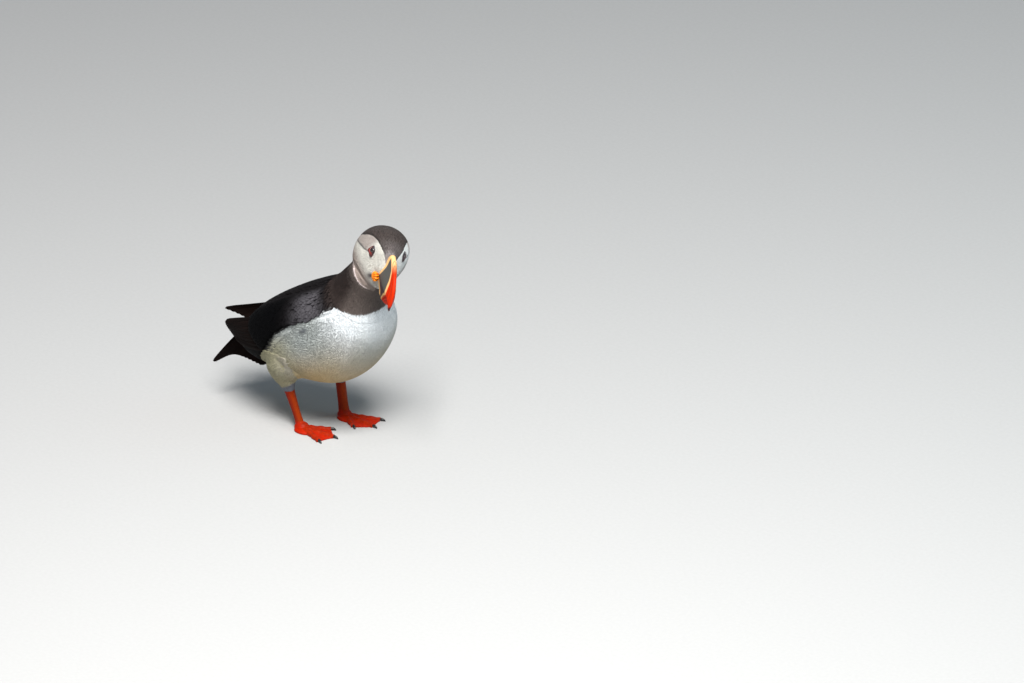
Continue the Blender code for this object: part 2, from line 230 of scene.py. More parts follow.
def off(surface, t, turn, lift):
    """Points lifted off a surface along its normal."""
    ahead = surface(t + STEP, turn) - surface(t - STEP, turn)
    across = surface(t, turn + STEP) - surface(t, turn - STEP)
    return surface(t, turn) + unit(np.cross(ahead, across)) * np.asarray(lift)[..., None]


def wing_place(a, b):
    """t and turn of a wing's point at a from shoulder to rear and b from its upper to its lower edge."""
    t_top, turn_top, t_low, turn_low = np.moveaxis(along(WING_EDGES, a), -1, 0)
    t = t_top + b * (t_low - t_top) - WING_REAR_BULGE * a**3 * np.sin(np.pi * b)
    return t, turn_top + b * (turn_low - turn_top)


# The corner of the trunk's solid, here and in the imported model, gives the way from one frame to the other.
TRUNK_T = np.linspace(0, COLLAR - SEAM, TRUNK_GRID[0])[:, None]
SHIFT = np.array(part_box("trunk")[0]) - body(TRUNK_T, full_turn(TRUNK_GRID[1])).reshape(-1, 3).min(0)


# ---- Meshes ------------------------------------------------------------------------------------------------


def grid_faces_of(index):
    """Quads of a grid of numbered points whose second direction lies left of the first, from outside."""
    return np.stack([index[:-1, :-1], index[1:, :-1], index[1:, 1:], index[:-1, 1:]], -1)


def grid_faces(rows, columns, closed=False):
    """Quads of a grid of points, numbered row by row, whose rows may be closed."""
    index = np.arange(rows * columns).reshape(rows, columns)
    if closed:
        index = np.hstack([index, index[:, :1]])
    return grid_faces_of(index).reshape(-1, 4)


def tube_form(rings):
    """A capped form through closed rings whose turn is to the left."""
    count, around = rings.shape[:2]
    caps = [list(range(around)), list(range(count * around - 1, (count - 1) * around - 1, -1))]
    return rings.reshape(-1, 3), grid_faces(count, around, True)[:, ::-1].tolist() + caps


def slab_form(outer, inner):
    """A closed form between two grids of one size."""
    rows, columns = outer.shape[:2]
    index = np.arange(rows * columns).reshape(rows, columns)
    top = grid_faces(rows, columns)
    border = np.concatenate([index[:-1, 0], index[-1, :-1], index[:0:-1, -1], index[0, :0:-1]])
    after = np.roll(border, -1)
    wall = np.stack([border, border + rows * columns, after + rows * columns, after], -1)
    faces = np.concatenate([top, top[:, ::-1] + rows * columns, wall])
    return np.concatenate([outer.reshape(-1, 3), inner.reshape(-1, 3)]), faces.tolist()


def joined(forms):
    """One mesh of several closed forms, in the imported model's frame."""
    vertices, faces, count = [], [], 0
    for form_vertices, form_faces in forms:
        vertices.append(form_vertices + SHIFT)
        faces += [[index + count for index in face] for face in form_faces]
        count += len(form_vertices)
    mesh = bpy.data.meshes.new("forms")
    mesh.from_pydata(np.concatenate(vertices).tolist(), [], faces)
    return mesh


def linked(name, content):
    """A new object of the scene that holds a mesh, a lamp or a camera."""
    made = bpy.data.objects.new(name, content)
    bpy.context.scene.collection.objects.link(made)
    return made


def evaluated(thing):
    """A new mesh with the object's modifiers applied."""
    graph = bpy.context.evaluated_depsgraph_get()
    return bpy.data.meshes.new_from_object(thing.evaluated_get(graph))


def fused(forms, voxel, smoothing):
    """The forms melted into one closed mesh, with its creases smoothed out."""
    clay = linked("clay", joined(forms))
    remesh = clay.modifiers.new("fuse", "REMESH")
    remesh.mode = "VOXEL"
    remesh.voxel_size = voxel
    easing = clay.modifiers.new("smooth", "SMOOTH")
    easing.factor = 0.5
    easing.iterations = smoothing
    mesh = evaluated(clay)
    bpy.data.objects.remove(clay)
    mesh.shade_smooth()
    return mesh


def read_vertices(mesh, value="co"):
    """The place of every vertex, or with "normal" its normal."""
    read = np.empty(len(mesh.vertices) * 3)
    mesh.vertices.foreach_get(value, read)
    return read.reshape(-1, 3)


# ---- Skin --------------------------------------------------------------------------------------------------


def wing_form(sign):
    """A folded wing's flesh: from inside the body out to under its feathers."""
    a, b = np.linspace(0, 1, 30)[:, None], np.linspace(0, 1, 20)
    t, turn = wing_place(a, b)
    swollen = swell(b, 0.5) * swell(0.08 + 0.8 * a, 0.4)
    thick = EDGE_THICKNESS + (WING_THICKNESS - EDGE_THICKNESS) * swollen
    outer, inner = (off(body, t, sign * turn, lift) for lift in (thick - WING_COAT, -FLESH_DEPTH))
    return slab_form(outer, inner) if sign < 0 else slab_form(outer[:, ::-1], inner[:, ::-1])


def mantle_form():
    """The flesh of the back between the wings, thickest midway from rump to neck."""
    a, b = np.linspace(0, 1, 30)[:, None], np.linspace(-1, 1, 12)
    t, turn = MANTLE_ENDS[0] + a * (MANTLE_ENDS[1] - MANTLE_ENDS[0]), MANTLE_TURN * b
    thick = EDGE_THICKNESS + (MANTLE_THICKNESS - EDGE_THICKNESS) * swell(a, 0.6)
    return slab_form(off(body, t, turn, thick - WING_COAT), off(body, t, turn, -FLESH_DEPTH))


def muzzle_form():
    """The feathered front of the face: an egg round the base of the bill."""
    angle, turn = np.linspace(np.pi, 0, 26)[1:-1, None], full_turn(30)
    egg = points(np.cos(angle), np.sin(angle) * np.sin(turn), np.sin(angle) * np.cos(turn))
    return tube_form(from_head(MUZZLE_PLACE + MUZZLE_SIZE * egg))


def make_skin():
    """All feathered forms, drawn in by the depth of their coat and melted into one."""
    t, turn = np.linspace(0, NECK_END, 70)[:, None], full_turn(90)
    depth = np.interp(t, (0.7, 0.85), (TRUNK_COAT, NECK_COAT))
    forms = [tube_form(off(body, t, turn, -depth)), wing_form(-1), wing_form(1), mantle_form()]
    t = np.linspace(0.02, 1, 50)[:, None]
    forms += [tube_form(off(head, t, turn, -FACE_COAT)), muzzle_form()]
    for side in THIGHS:
        t, turn = np.linspace(0, 1, 20)[:, None], full_turn(30)
        forms += [tube_form(off(limb(table[side]), t, turn, -THIGH_COAT)) for table in (THIGHS, FOLDS)]
    return linked("skin", fused(forms, SKIN_VOXEL, SKIN_SMOOTHING))


skin = make_skin()


# ---- Colour and noise --------------------------------------------------------------------------------------


def rgb(red, green, blue):
    """A colour given on the usual 0 to 255 scale, as light."""
    share = np.array((red, green, blue)) / 255
    return np.where(share <= 0.04045, share / 12.92, ((share + 0.055) / 1.055) ** 2.4)


def mixed(first, second, share):
    """The first colour where the share is 0, the second where it is 1, and a mixture between."""
    share = np.clip(share, 0, 1)[..., None]
    return first * (1 - share) + second * share


def smooth(low, high, value):
    """0 up to low, 1 from high on, and an S-curve between."""
    k = np.clip((value - low) / (high - low), 0, 1)
    return k * k * (3 - 2 * k)


def ripples(place, wavelength, seed):
    """Smooth noise of about -1 to 1: a sum of sine waves in random directions."""
    waves = np.random.default_rng(seed)
    heading = unit(waves.normal(size=(9, 3)))
    phase = waves.uniform(0, 2 * np.pi, 9)
    heading = heading / (wavelength * waves.uniform(0.6, 1.6, (9, 1)))
    return np.sin(place @ heading.T * 2 * np.pi + phase).sum(-1) / 4


# ---- Markings ----------------------------------------------------------------------------------------------

# Lower edge of the dark collar, as turn in degrees and t.
COLLAR_EDGE = np.array([
    (84, 0.75), (95, 0.769), (106, 0.775), (118, 0.782), (138, 0.791), (171, 0.801), (180, 0.801),
])
# Lower edge of the dark wing, as t and turn in degrees.
WING_BORDER = np.array([
    (-0.2, 150), (0.2, 150), (0.26, 135), (0.305, 106), (0.346, 92.5), (0.369, 83.5), (0.391, 76),
    (0.419, 72), (0.458, 66.5), (0.537, 64.5), (0.655, 68.5), (0.699, 73.5), (0.737, 82), (0.75, 84),
])
# Edge of the pale face in the head's frame: turn in degrees from the crown, and the x in mm where it begins.
FACE_EDGE = np.array([
    (10, 8), (16, 0.3), (20, -3.9), (24, -9.2), (28.6, -14.7), (36, -20), (45, -24.4), (53, -28.1),
    (63, -33.4), (76, -37.5), (90, -38.5), (105, -37), (115, -36), (140, -33), (180, -31),
])
# Its lower edge lies in a plane: z = a x + b |y| + c in mm.
FACE_PLANE = (-0.488, 0.562, -37.0)
# The crease behind the eye: x in mm and turn in degrees.
CREASE = np.array([(-36, 75), (-29, 71.3), (-21.2, 67), (-16, 64.9), (-12.8, 60.8)])

BREAST = rgb(230, 235, 239)
# Painted shade: the white plumage greyed on the flanks, on the underside and towards the rump.
FLANK_SHADE = rgb(166, 172, 170)
# Painted shade with a painted warm bounce light, low on the belly.
BELLY_SHADE_AND_BOUNCE = rgb(196, 170, 122)
# The rear flank, darker and yellower: partly its own dusky tone, partly painted shade.
REAR_FLANK_DUSKY_AND_SHADED = rgb(156, 152, 124)
SMUDGE = rgb(80, 84, 92)
# The collar's front: its own grey-brown, lightened by a painted sheen.
COLLAR_FRONT_WITH_SHEEN = rgb(91, 82, 78)
COLLAR_SIDE = rgb(50, 42, 40)
CROWN_DARK = rgb(60, 51, 48)
CROWN_EDGE = rgb(30, 24, 23)
FOREHEAD = rgb(140, 133, 133)
BACK_DARK = rgb(22, 20, 21)
# Painted sheen: grey reflected light on the shoulders' black feathers.
SCAPULAR_SHEEN = rgb(74, 72, 76)
# The wings' black, darkened at their rear by painted shade.
SHADED_WING_BLACK = rgb(4, 4, 5)
FACE = rgb(206, 204, 196)
# The far cheek, painted lighter and bluer: painted sky light.
SKYLIT_FACE_LEFT = rgb(224, 227, 226)
FACE_GREY = rgb(162, 153, 147)
# Painted shade on the lower rear cheek, darkest near the face's edge.
CHEEK_SHADE = rgb(144, 131, 124)
RIM_PALE = rgb(240, 224, 222)
CREASE_DARK = rgb(58, 52, 54)
SHANK_GREY = rgb(112, 119, 130)


def body_colour(t, turn, place):
    """Markings of trunk and neck."""
    side = np.degrees(np.abs((turn + np.pi) % (2 * np.pi) - np.pi))
    edge = np.interp(side, *COLLAR_EDGE.T)
    border = np.interp(t, *WING_BORDER.T)
    dark = np.where(side < 84, (side < border) | (t > 0.75), (t > edge) | (side < border))
    # Painted shade: the white greys towards the rump and the underside, and turns warm on the belly with a
    # painted bounce light.
    shaded = np.maximum(smooth(0.74, 0.56, t), smooth(112, 150, side) * smooth(0.8, 0.62, t))
    white = mixed(BREAST, FLANK_SHADE, shaded)
    white = mixed(white, BELLY_SHADE_AND_BOUNCE, smooth(84, 138, side) * smooth(0.74, 0.46, t))
    # Darker and yellower on the rear flank below the wing: partly its dusky tone, partly painted shade.
    rear = smooth(66, 96, side) * smooth(152, 125, side) * smooth(0.5, 0.36, t)
    white = mixed(white, REAR_FLANK_DUSKY_AND_SHADED, 0.9 * rear)
    white = mixed(white, SMUDGE, 0.85 * np.exp(-((t - 0.524) / 0.024)**2 - ((side - 75.5) / 3.4)**2))
    locks = ripples(points(t * 30 * MM, side * 0.8 * MM, 0), 4 * MM, 11)
    white = white * (1 - 0.07 * smooth(0.2, 1.2, locks))[..., None]
    by_wing = smooth(14, 3, side - border) * smooth(0.5, 0.4, t)
    white = mixed(white, SMUDGE, 0.35 * by_wing)
    speckle = smooth(0.05, 0.35, ripples(points(t * 90 * MM, side * 0.8 * MM, 0), 2.6 * MM, 31))
    white = mixed(white, 0.4 * SMUDGE, speckle * by_wing * smooth(0.24, 0.28, t))
    return np.where(dark[..., None], dark_plumage(t, side), white)


def dark_plumage(t, side):
    """Back, wings, rump and collar, with a painted sheen on the shoulders and painted shade on the rear of
    the wings.
    """
    back = mixed(BACK_DARK, SCAPULAR_SHEEN, smooth(0.42, 0.56, t) * smooth(24, 44, side) * smooth(0.72, 0.6, t))
    back = mixed(back, SHADED_WING_BLACK, smooth(0.5, 0.38, t) * smooth(18, 40, side))
    # The collar's front is its own grey-brown with a painted sheen; its sides and back are darker.
    collar = mixed(COLLAR_SIDE, COLLAR_FRONT_WITH_SHEEN, smooth(84, 116, side))
    return mixed(back, collar, smooth(0.68, 0.8, t))


def back_colour(t, turn, place):
    """Markings of the back's feathers, which are all dark."""
    return dark_plumage(t, np.degrees(np.abs(turn)))


def head_turn_of(x, y, z):
    """Degrees round the head from the crown, whose front leans a little to the left."""
    turn = np.degrees(np.arctan2(y, z + 0.5))
    lean = np.interp(x, (-28, -19, -9), (0, 8, 16)) * smooth(95, 50, np.abs(turn))
    return np.abs(np.where(turn > 0, turn - lean * smooth(0, 35, turn), turn))


def inside_face(x, y, z, turn):
    """How many mm a point lies inside the pale face."""
    a, b, c = FACE_PLANE
    above = (z - a * x - b * np.abs(y) - c) / np.sqrt(1 + a**2 + b**2)
    return np.minimum(x - np.interp(turn, *FACE_EDGE.T), above)


def head_colour(place):
    """Markings of the head by where a point lies in the head's frame."""
    x, y, z = np.moveaxis(to_head(place) / MM, -1, 0)
    turn = head_turn_of(x, y, z)
    inside = inside_face(x, y, z, turn)
    crease = turn - np.interp(x, *CREASE.T)
    behind = np.where(y > 0, x + 9, x)
    # The far cheek is painted lighter and bluer: painted sky light.
    face = mixed(FACE, SKYLIT_FACE_LEFT, smooth(-4, 4, y))
    pale = mixed(face, FACE_GREY, smooth(-9, -15, behind) * smooth(2, -4, crease))
    # Painted shade on the lower cheek towards the face's edge.
    pale = mixed(pale, CHEEK_SHADE, smooth(18, 3, inside) * smooth(60, 92, turn))
    pale = mixed(pale, RIM_PALE, smooth(0.9, 0.55, inside) * smooth(90, 112, turn) * smooth(174, 160, turn))
    line = np.exp(-(crease / 2.2)**2) * smooth(-11, -14, x)
    pale = mixed(pale, CREASE_DARK, line * 0.85)
    # A painted shadow behind the rosette at the corner of the mouth.
    gape_shadow = np.exp(-((x + 4.6) / 3.0)**2 - ((turn - 136) / 10)**2)
    pale = mixed(pale, CREASE_DARK, gape_shadow)
    pale_brow = 0.75 * smooth(-3, 2, x) + 0.25 * smooth(-16, -4, x)
    dark = mixed(CROWN_DARK, FOREHEAD, pale_brow * smooth(40, 25, turn))
    dark = mixed(dark, CROWN_EDGE, 0.75 * smooth(-6, -0.5, inside) * smooth(0, -5, x))
    return np.where((inside > 0)[..., None], pale, dark)


def thigh_colour(t, turn, place):
    """As the rear of the flank, with its painted shade, and blue-grey round the heel joint, higher in front
    than behind.
    """
    x, y, z = np.moveaxis(place / MM, -1, 0)
    above = z - 0.45 * (x - np.where(y < 0, THIGHS["right"][-1, 0], THIGHS["left"][-1, 0]) / MM)
    flank = mixed(REAR_FLANK_DUSKY_AND_SHADED, mixed(FLANK_SHADE, BELLY_SHADE_AND_BOUNCE, 0.35), smooth(-25, -2, x) * smooth(44, 60, z))
    return mixed(flank, SHANK_GREY, smooth(39, 36.5, above))


def on_face(place):
    """Where the pale face is, which also reaches over the top of the neck."""
    x, y, z = np.moveaxis(to_head(place) / MM, -1, 0)
    turn = head_turn_of(x, y, z)
    return (inside_face(x, y, z, turn) > 0) & (x < 0)


def head_marking(t, turn, place):
    """The head's markings, by place alone."""
    return head_colour(place)


def throat_colour(t, turn, place):
    """The head's markings on the face, and the collar's below it."""
    return np.where(on_face(place)[..., None], head_colour(place), COLLAR_FRONT_WITH_SHEEN)


def neck_colour(t, turn, place):
    """The head's markings on the face, and those of trunk and neck elsewhere."""
    return np.where(on_face(place)[..., None], head_colour(place), body_colour(t, turn, place))


# ---- Materials ---------------------------------------------------------------------------------------------


def nodes_of(name):
    """A new material, its node tree and its shader."""
    made = bpy.data.materials.new(name)
    made.use_nodes = True
    tree = made.node_tree
    return made, tree, tree.nodes["Principled BSDF"]


def bump(tree, shader, height, strength, distance):
    """Roughens the shader by a pattern of heights."""
    node = tree.nodes.new("ShaderNodeBump")
    node.inputs["Strength"].default_value = strength
    node.inputs["Distance"].default_value = distance
    tree.links.new(height, node.inputs["Height"])
    tree.links.new(node.outputs["Normal"], shader.inputs["Normal"])


def grain(tree, kind, scale, detail=3.0):
    """A noise or Voronoi pattern on object coordinates."""
    where = tree.nodes.new("ShaderNodeTexCoord")
    node = tree.nodes.new(kind)
    node.inputs["Scale"].default_value = scale
    if kind == "ShaderNodeTexNoise":
        node.inputs["Detail"].default_value = detail
    tree.links.new(where.outputs["Object"], node.inputs["Vector"])
    return node


def spread(tree, value, least, most):
    """A pattern's values of 0 to 1, brought into a range."""
    ramp = tree.nodes.new("ShaderNodeMapRange")
    ramp.inputs["To Min"].default_value = least
    ramp.inputs["To Max"].default_value = most
    tree.links.new(value, ramp.inputs["Value"])
    return ramp.outputs["Result"]


def painted(name, roughness, sheen=0.0, specular=0.5, grain_kind="ShaderNodeTexNoise", scale=900.0,
            strength=0.2, distance=0.2 * MM, mottle=0.12, clearcoat=0.0):
    """A material whose colour is the piece's own attribute, mottled and roughened by a fine grain."""
    made, tree, shader = nodes_of(name)
    colour = tree.nodes.new("ShaderNodeVertexColor")
    colour.layer_name = "marking"
    pattern = grain(tree, grain_kind, scale)
    height = pattern.outputs["Distance" if grain_kind == "ShaderNodeTexVoronoi" else "Fac"]
    tint = tree.nodes.new("ShaderNodeMix")
    tint.data_type = "RGBA"
    tint.blend_type = "MULTIPLY"
    tint.inputs["Factor"].default_value = 1.0
    tree.links.new(colour.outputs["Color"], tint.inputs["A"])
    tree.links.new(spread(tree, height, 1 - mottle, 1 + mottle), tint.inputs["B"])
    tree.links.new(tint.outputs["Result"], shader.inputs["Base Color"])
    shader.inputs["Roughness"].default_value = roughness
    shader.inputs["Sheen Weight"].default_value = sheen
    shader.inputs["Specular IOR Level"].default_value = specular
    shader.inputs["Coat Weight"].default_value = clearcoat
    bump(tree, shader, height, strength, distance)
    return made


DOWN = painted("soft_down", 0.85, sheen=0.05, specular=0.1, strength=0.03, mottle=0.05)
SLEEK = painted("dark_down", 0.8, specular=0.1, strength=0.05)
PLUMAGE = painted("sleek_plumage", 0.7, specular=0.03)
SCALY = painted("scaly_skin", 0.5, specular=0.1, grain_kind="ShaderNodeTexVoronoi", strength=0.5,
                distance=0.3 * MM)
HORN = painted("bill_horn", 0.5, specular=0.1, scale=350.0, strength=0.1, mottle=0.08)
FOLDED = painted("rosette_skin", 0.5, specular=0.25, scale=1500.0, strength=0.3)
LID = painted("lid_skin", 0.5, grain_kind="ShaderNodeTexVoronoi", scale=1800.0, strength=0.4)
WET = painted("wet_eye", 0.06, specular=0.8, strength=0.0, mottle=0.05, clearcoat=1.0)
CLAW = painted("claw_horn", 0.35, strength=0.1)


def write_marking(mesh, colour):
    """Keeps a colour for every vertex in the mesh's own attribute."""
    layer = mesh.color_attributes.new("marking", "FLOAT_COLOR", "POINT")
    layer.data.foreach_set("color", np.column_stack([colour, np.ones(len(colour))]).ravel())


def filled(name, mesh, paint, colour):
    """A finished piece of a mesh: its material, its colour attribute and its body."""
    mesh.materials.append(paint)
    write_marking(mesh, colour.reshape(-1, 3))
    piece = linked(name, mesh)
    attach(piece, "root")
    return piece


def shell(name, vertices, faces, paint, colour):
    """A piece from a vertex array and face lists."""
    mesh = bpy.data.meshes.new(name)
    mesh.from_pydata((vertices.reshape(-1, 3) + SHIFT).tolist(), [], faces)
    mesh.shade_smooth()
    return filled(name, mesh, paint, colour)


def mark_skin():
    """Colours the skin from the marked surfaces of the forms it was made of."""
    rows, columns = 240, 180
    t, turn = np.linspace(-0.02, 1, rows)[:, None], np.linspace(0, 2 * np.pi, columns)
    parts = [(body(t, turn), neck_colour(*np.broadcast_arrays(t, turn), body(t, turn)))]
    parts.append((head(t, turn), head_colour(head(t, turn))))
    for side in THIGHS:
        place = limb(THIGHS[side])(t, turn)
        parts.append((place, thigh_colour(t, turn, place)))
    marked = joined([(place.reshape(-1, 3), grid_faces(rows, columns).tolist()) for place, colour in parts])
    write_marking(marked, np.concatenate([colour.reshape(-1, 3) for place, colour in parts]))
    source = linked("marked", marked)
    skin.data.color_attributes.new("marking", "FLOAT_COLOR", "POINT")
    transfer = skin.modifiers.new("marking", "DATA_TRANSFER")
    transfer.object = source
    transfer.use_vert_data = True
    transfer.data_types_verts = {"COLOR_VERTEX"}
    transfer.vert_mapping = "POLYINTERP_NEAREST"
    skin.data = evaluated(skin)
    skin.modifiers.clear()
    bpy.data.objects.remove(source)
    skin.data.materials.append(DOWN)
    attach(skin, "root")
    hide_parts("trunk", "neck", "head", "mantle", "wing_left", "wing_right", "thigh_left",
                "thigh_right")


# ---- Feathers ----------------------------------------------------------------------------------------------

# The width in the UV map of each feather's own patch, and how far the patches keep from its border.
BAKE_PATCH = 0.003
BAKE_BORDER = 0.005
# Outlines of a feather from root to tip: share of its length, half-width, thickness and height over the skin.
TUFT = np.array([(0, 0, 0, -0.1), (0.2, 1, 1, 0.86), (0.8, 0.75, 0.8, 0.97), (1, 0, 0, 1)])
VANE = np.array([(0, 0, 0, -0.2), (0.25, 0.65, 1, 0.6), (0.55, 0.95, 1, 0.84), (0.8, 0.95, 0.8, 0.95),
                 (0.94, 0.6, 0.5, 1), (1, 0, 0, 1)])
QUILL = np.array([(0, 0, 0, 0), (0.04, 0.5, 1, 0), (0.15, 0.8, 1, 0), (0.35, 0.95, 1, 0), (0.55, 1, 1, 0),
                  (0.75, 0.95, 0.9, 0), (0.9, 0.85, 0.8, 0), (0.975, 0.6, 0.7, 0), (1, 0, 0, 0)])
# Cross-sections seen from the root: share of the half-width, and share of the thickness.
STRAND = np.array([(-1, 0), (0, 1), (1, 0)])
LEAF = np.array([(-1, -0.4), (-0.5, 0.6), (0, 1), (0.5, 0.6), (1, -0.4), (0, -0.2)])
RIBBED = np.array([(-1, -0.5), (-0.5, 0.5), (-0.1, 0.8), (0, 1.6), (0.1, 0.8), (0.5, 0.5), (1, -0.5),
                   (0.4, -0.5), (-0.4, -0.5)])
TUFT_THICKNESS = 0.015 * MM
HEAD_TUFT = {"width": 0.68 * MM, "depth": 0.9 * FACE_COAT, "thick": TUFT_THICKNESS, "shade": (0.8, 1.0)}
# A feather is dropped where folds of the skin would change its length by more than this share.
STRETCH = 0.4
# A thigh's tract: how far it reaches from the thigh's axis, and its lower and upper end.
THIGH_TRACT = 25 * MM
THIGH_TRACT_ENDS = (32 * MM, 75 * MM)

rng = np.random.default_rng(12)


def conformed(place, lift=0.0):
    """The points moved to the nearest places on the skin, or to a little above them."""
    cloud = bpy.data.meshes.new("cloud")
    cloud.vertices.add(place.size // 3)
    cloud.vertices.foreach_set("co", (place + SHIFT).ravel())
    loose = linked("cloud", cloud)
    wrap = loose.modifiers.new("wrap", "SHRINKWRAP")
    wrap.target = skin
    wrap.wrap_mode = "ABOVE_SURFACE"
    wrap.offset = lift
    moved = read_vertices(evaluated(loose)).reshape(place.shape) - SHIFT
    bpy.data.objects.remove(loose)
    return moved


def rooted(surface, t_range, row_gap, gap, seed):
    """Staggered rows of roots round a form, about evenly spaced: arrays of t and turn."""
    scatter = np.random.default_rng(seed)
    t = np.linspace(*t_range, 200)[:, None]
    turn = np.linspace(-np.pi, np.pi, 181)
    grid = surface(t, turn)
    ahead = np.linalg.norm(np.diff(grid, axis=0), axis=-1)
    travelled = np.concatenate([[0], np.cumsum(ahead.max(1))])
    rows = np.interp(np.arange(0, travelled[-1], row_gap), travelled, t[:, 0])
    slowness = ahead / ahead.max(1, keepdims=True)
    roots = []
    for row in rows:
        round_it = np.linalg.norm(np.diff(surface(np.array(row), turn), axis=0), axis=-1)
        reach = np.concatenate([[0], np.cumsum(round_it)])
        count = int(reach[-1] / gap)
        place = (np.arange(count) + scatter.uniform() + scatter.uniform(-0.35, 0.35, count)) / count
        roots.append((np.full(count, row), np.interp(place % 1 * reach[-1], reach, turn)))
    t_root, turn_root = (np.concatenate(column) for column in zip(*roots))
    t_root = t_root + scatter.uniform(-0.5, 0.5, len(t_root)) * row_gap * np.ptp(t_range) / travelled[-1]
    t_share = (t_root - t_range[0]) / (t_range[1] - t_range[0])
    turn_share = (turn_root + np.pi) / (2 * np.pi)
    i = np.clip((t_share * (len(t) - 1)).astype(int), 0, len(t) - 2)
    j = np.clip((turn_share * (len(turn) - 1)).astype(int), 0, len(turn) - 2)
    kept = scatter.uniform(size=len(t_root)) < slowness[i, j]
    return t_root[kept], turn_root[kept]


def over(surface, t, turn, length, swing, outline):
    """Strands that run from their roots over a surface towards smaller t, swung round it by an angle.

    Returns their paths, t and turn all along them, and the places of their roots on the form's unwrap."""
    k = outline[:, 0]
    t_speed = np.linalg.norm(surface(t + STEP, turn) - surface(t - STEP, turn), axis=-1) / (2 * STEP)
    turn_speed = np.linalg.norm(surface(t, turn + STEP) - surface(t, turn - STEP), axis=-1) / (2 * STEP)
    t_way = t[:, None] - k * (length * np.cos(swing) / t_speed)[:, None]
    turn_way = turn[:, None] + k * (length * np.sin(swing) / np.maximum(turn_speed, 4 * MM))[:, None]
    unwrap = np.stack([((turn + np.pi) % (2 * np.pi)) / (2 * np.pi), (t - t.min()) / (np.ptp(t) + 1e-9)], -1)
    return surface(t_way, turn_way), t_way, turn_way, BAKE_BORDER + (1 - 2 * BAKE_BORDER) * unwrap


def combed(root, normal, heading, length, outline):
    """Strands that run straight from roots on the skin and flat along it, in the form that over() gives."""
    heading = unit(heading - normal * (heading * normal).sum(-1, keepdims=True))
    path = root[:, None] + heading[:, None] * (length * outline[:, 0])[:, None]
    away = root - root.mean(0)
    turns = np.arctan2(away[:, 1], away[:, 0]) / (2 * np.pi) + 0.5
    unwrap = np.stack([turns, (away[:, 2] - away[:, 2].min()) / np.ptp(away[:, 2])], -1)
    nowhere = np.zeros(path.shape[:2])
    return path, nowhere, nowhere, BAKE_BORDER + (1 - 2 * BAKE_BORDER) * unwrap


def blades(name, spine, side, up, half, thick, outline, section, colour, root_uv, paint):
    """Closed blades along spines, as one piece: the section is carried from root to tip by the outline."""
    count, stations = spine.shape[:2]
    around = len(section)
    wide, deep = outline[1:-1, 1] * half[:, None], outline[1:-1, 2] * thick[:, None]
    rings = (spine[:, 1:-1, None] + side[:, 1:-1, None] * (wide[..., None] * section[:, 0])[..., None]
             + up[:, 1:-1, None] * (deep[..., None] * section[:, 1])[..., None])
    vertices = np.concatenate([spine[:, :1], rings.reshape(count, -1, 3), spine[:, -1:]], 1)
    j = np.arange(around)
    after = (j + 1) % around
    first, last, tip = 1, 1 + (stations - 3) * around, 1 + (stations - 2) * around
    fans = np.concatenate([points(0, first + after, first + j), points(last + j, last + after, tip)])
    ring = points(first + j, first + after, first + around + after, first + around + j)
    quads = np.concatenate([ring + row * around for row in range(stations - 3)])
    base = np.arange(count)[:, None, None] * (tip + 1)
    triangles, quads = (fans + base).reshape(-1, 3), (quads + base).reshape(-1, 4)
    across = np.concatenate([[0], np.tile(section[:, 0], stations - 2), [0]])
    ahead = np.concatenate([outline[:1, 0], np.repeat(outline[1:-1, 0], around), outline[-1:, 0]])
    patch = BAKE_PATCH * np.stack([across / 2, ahead - 0.5], -1)
    uv = (root_uv[:, None] + patch).reshape(-1, 2)
    station = np.concatenate([[0], np.repeat(np.arange(1, stations - 1), around), [stations - 1]])
    mesh = bpy.data.meshes.new(name)
    mesh.vertices.add(count * (tip + 1))
    mesh.vertices.foreach_set("co", (vertices + SHIFT).ravel())
    corners = np.concatenate([quads.ravel(), triangles.ravel()])
    mesh.loops.add(len(corners))
    mesh.loops.foreach_set("vertex_index", corners)
    mesh.polygons.add(len(quads) + len(triangles))
    starts = np.concatenate([np.arange(len(quads)) * 4, len(quads) * 4 + np.arange(len(triangles)) * 3])
    mesh.polygons.foreach_set("loop_start", starts)
    mesh.update(calc_edges=True)
    mesh.uv_layers.new(name="OFBake").data.foreach_set("uv", uv[corners].ravel())
    under = section[after, 0] < section[j, 0]
    flat = np.concatenate([np.tile(under, count * (stations - 3)), np.tile(under, count * 2)])
    mesh.attributes.new("sharp_face", "BOOLEAN", "FACE").data.foreach_set("value", flat)
    return filled(name, mesh, paint, colour[:, station])


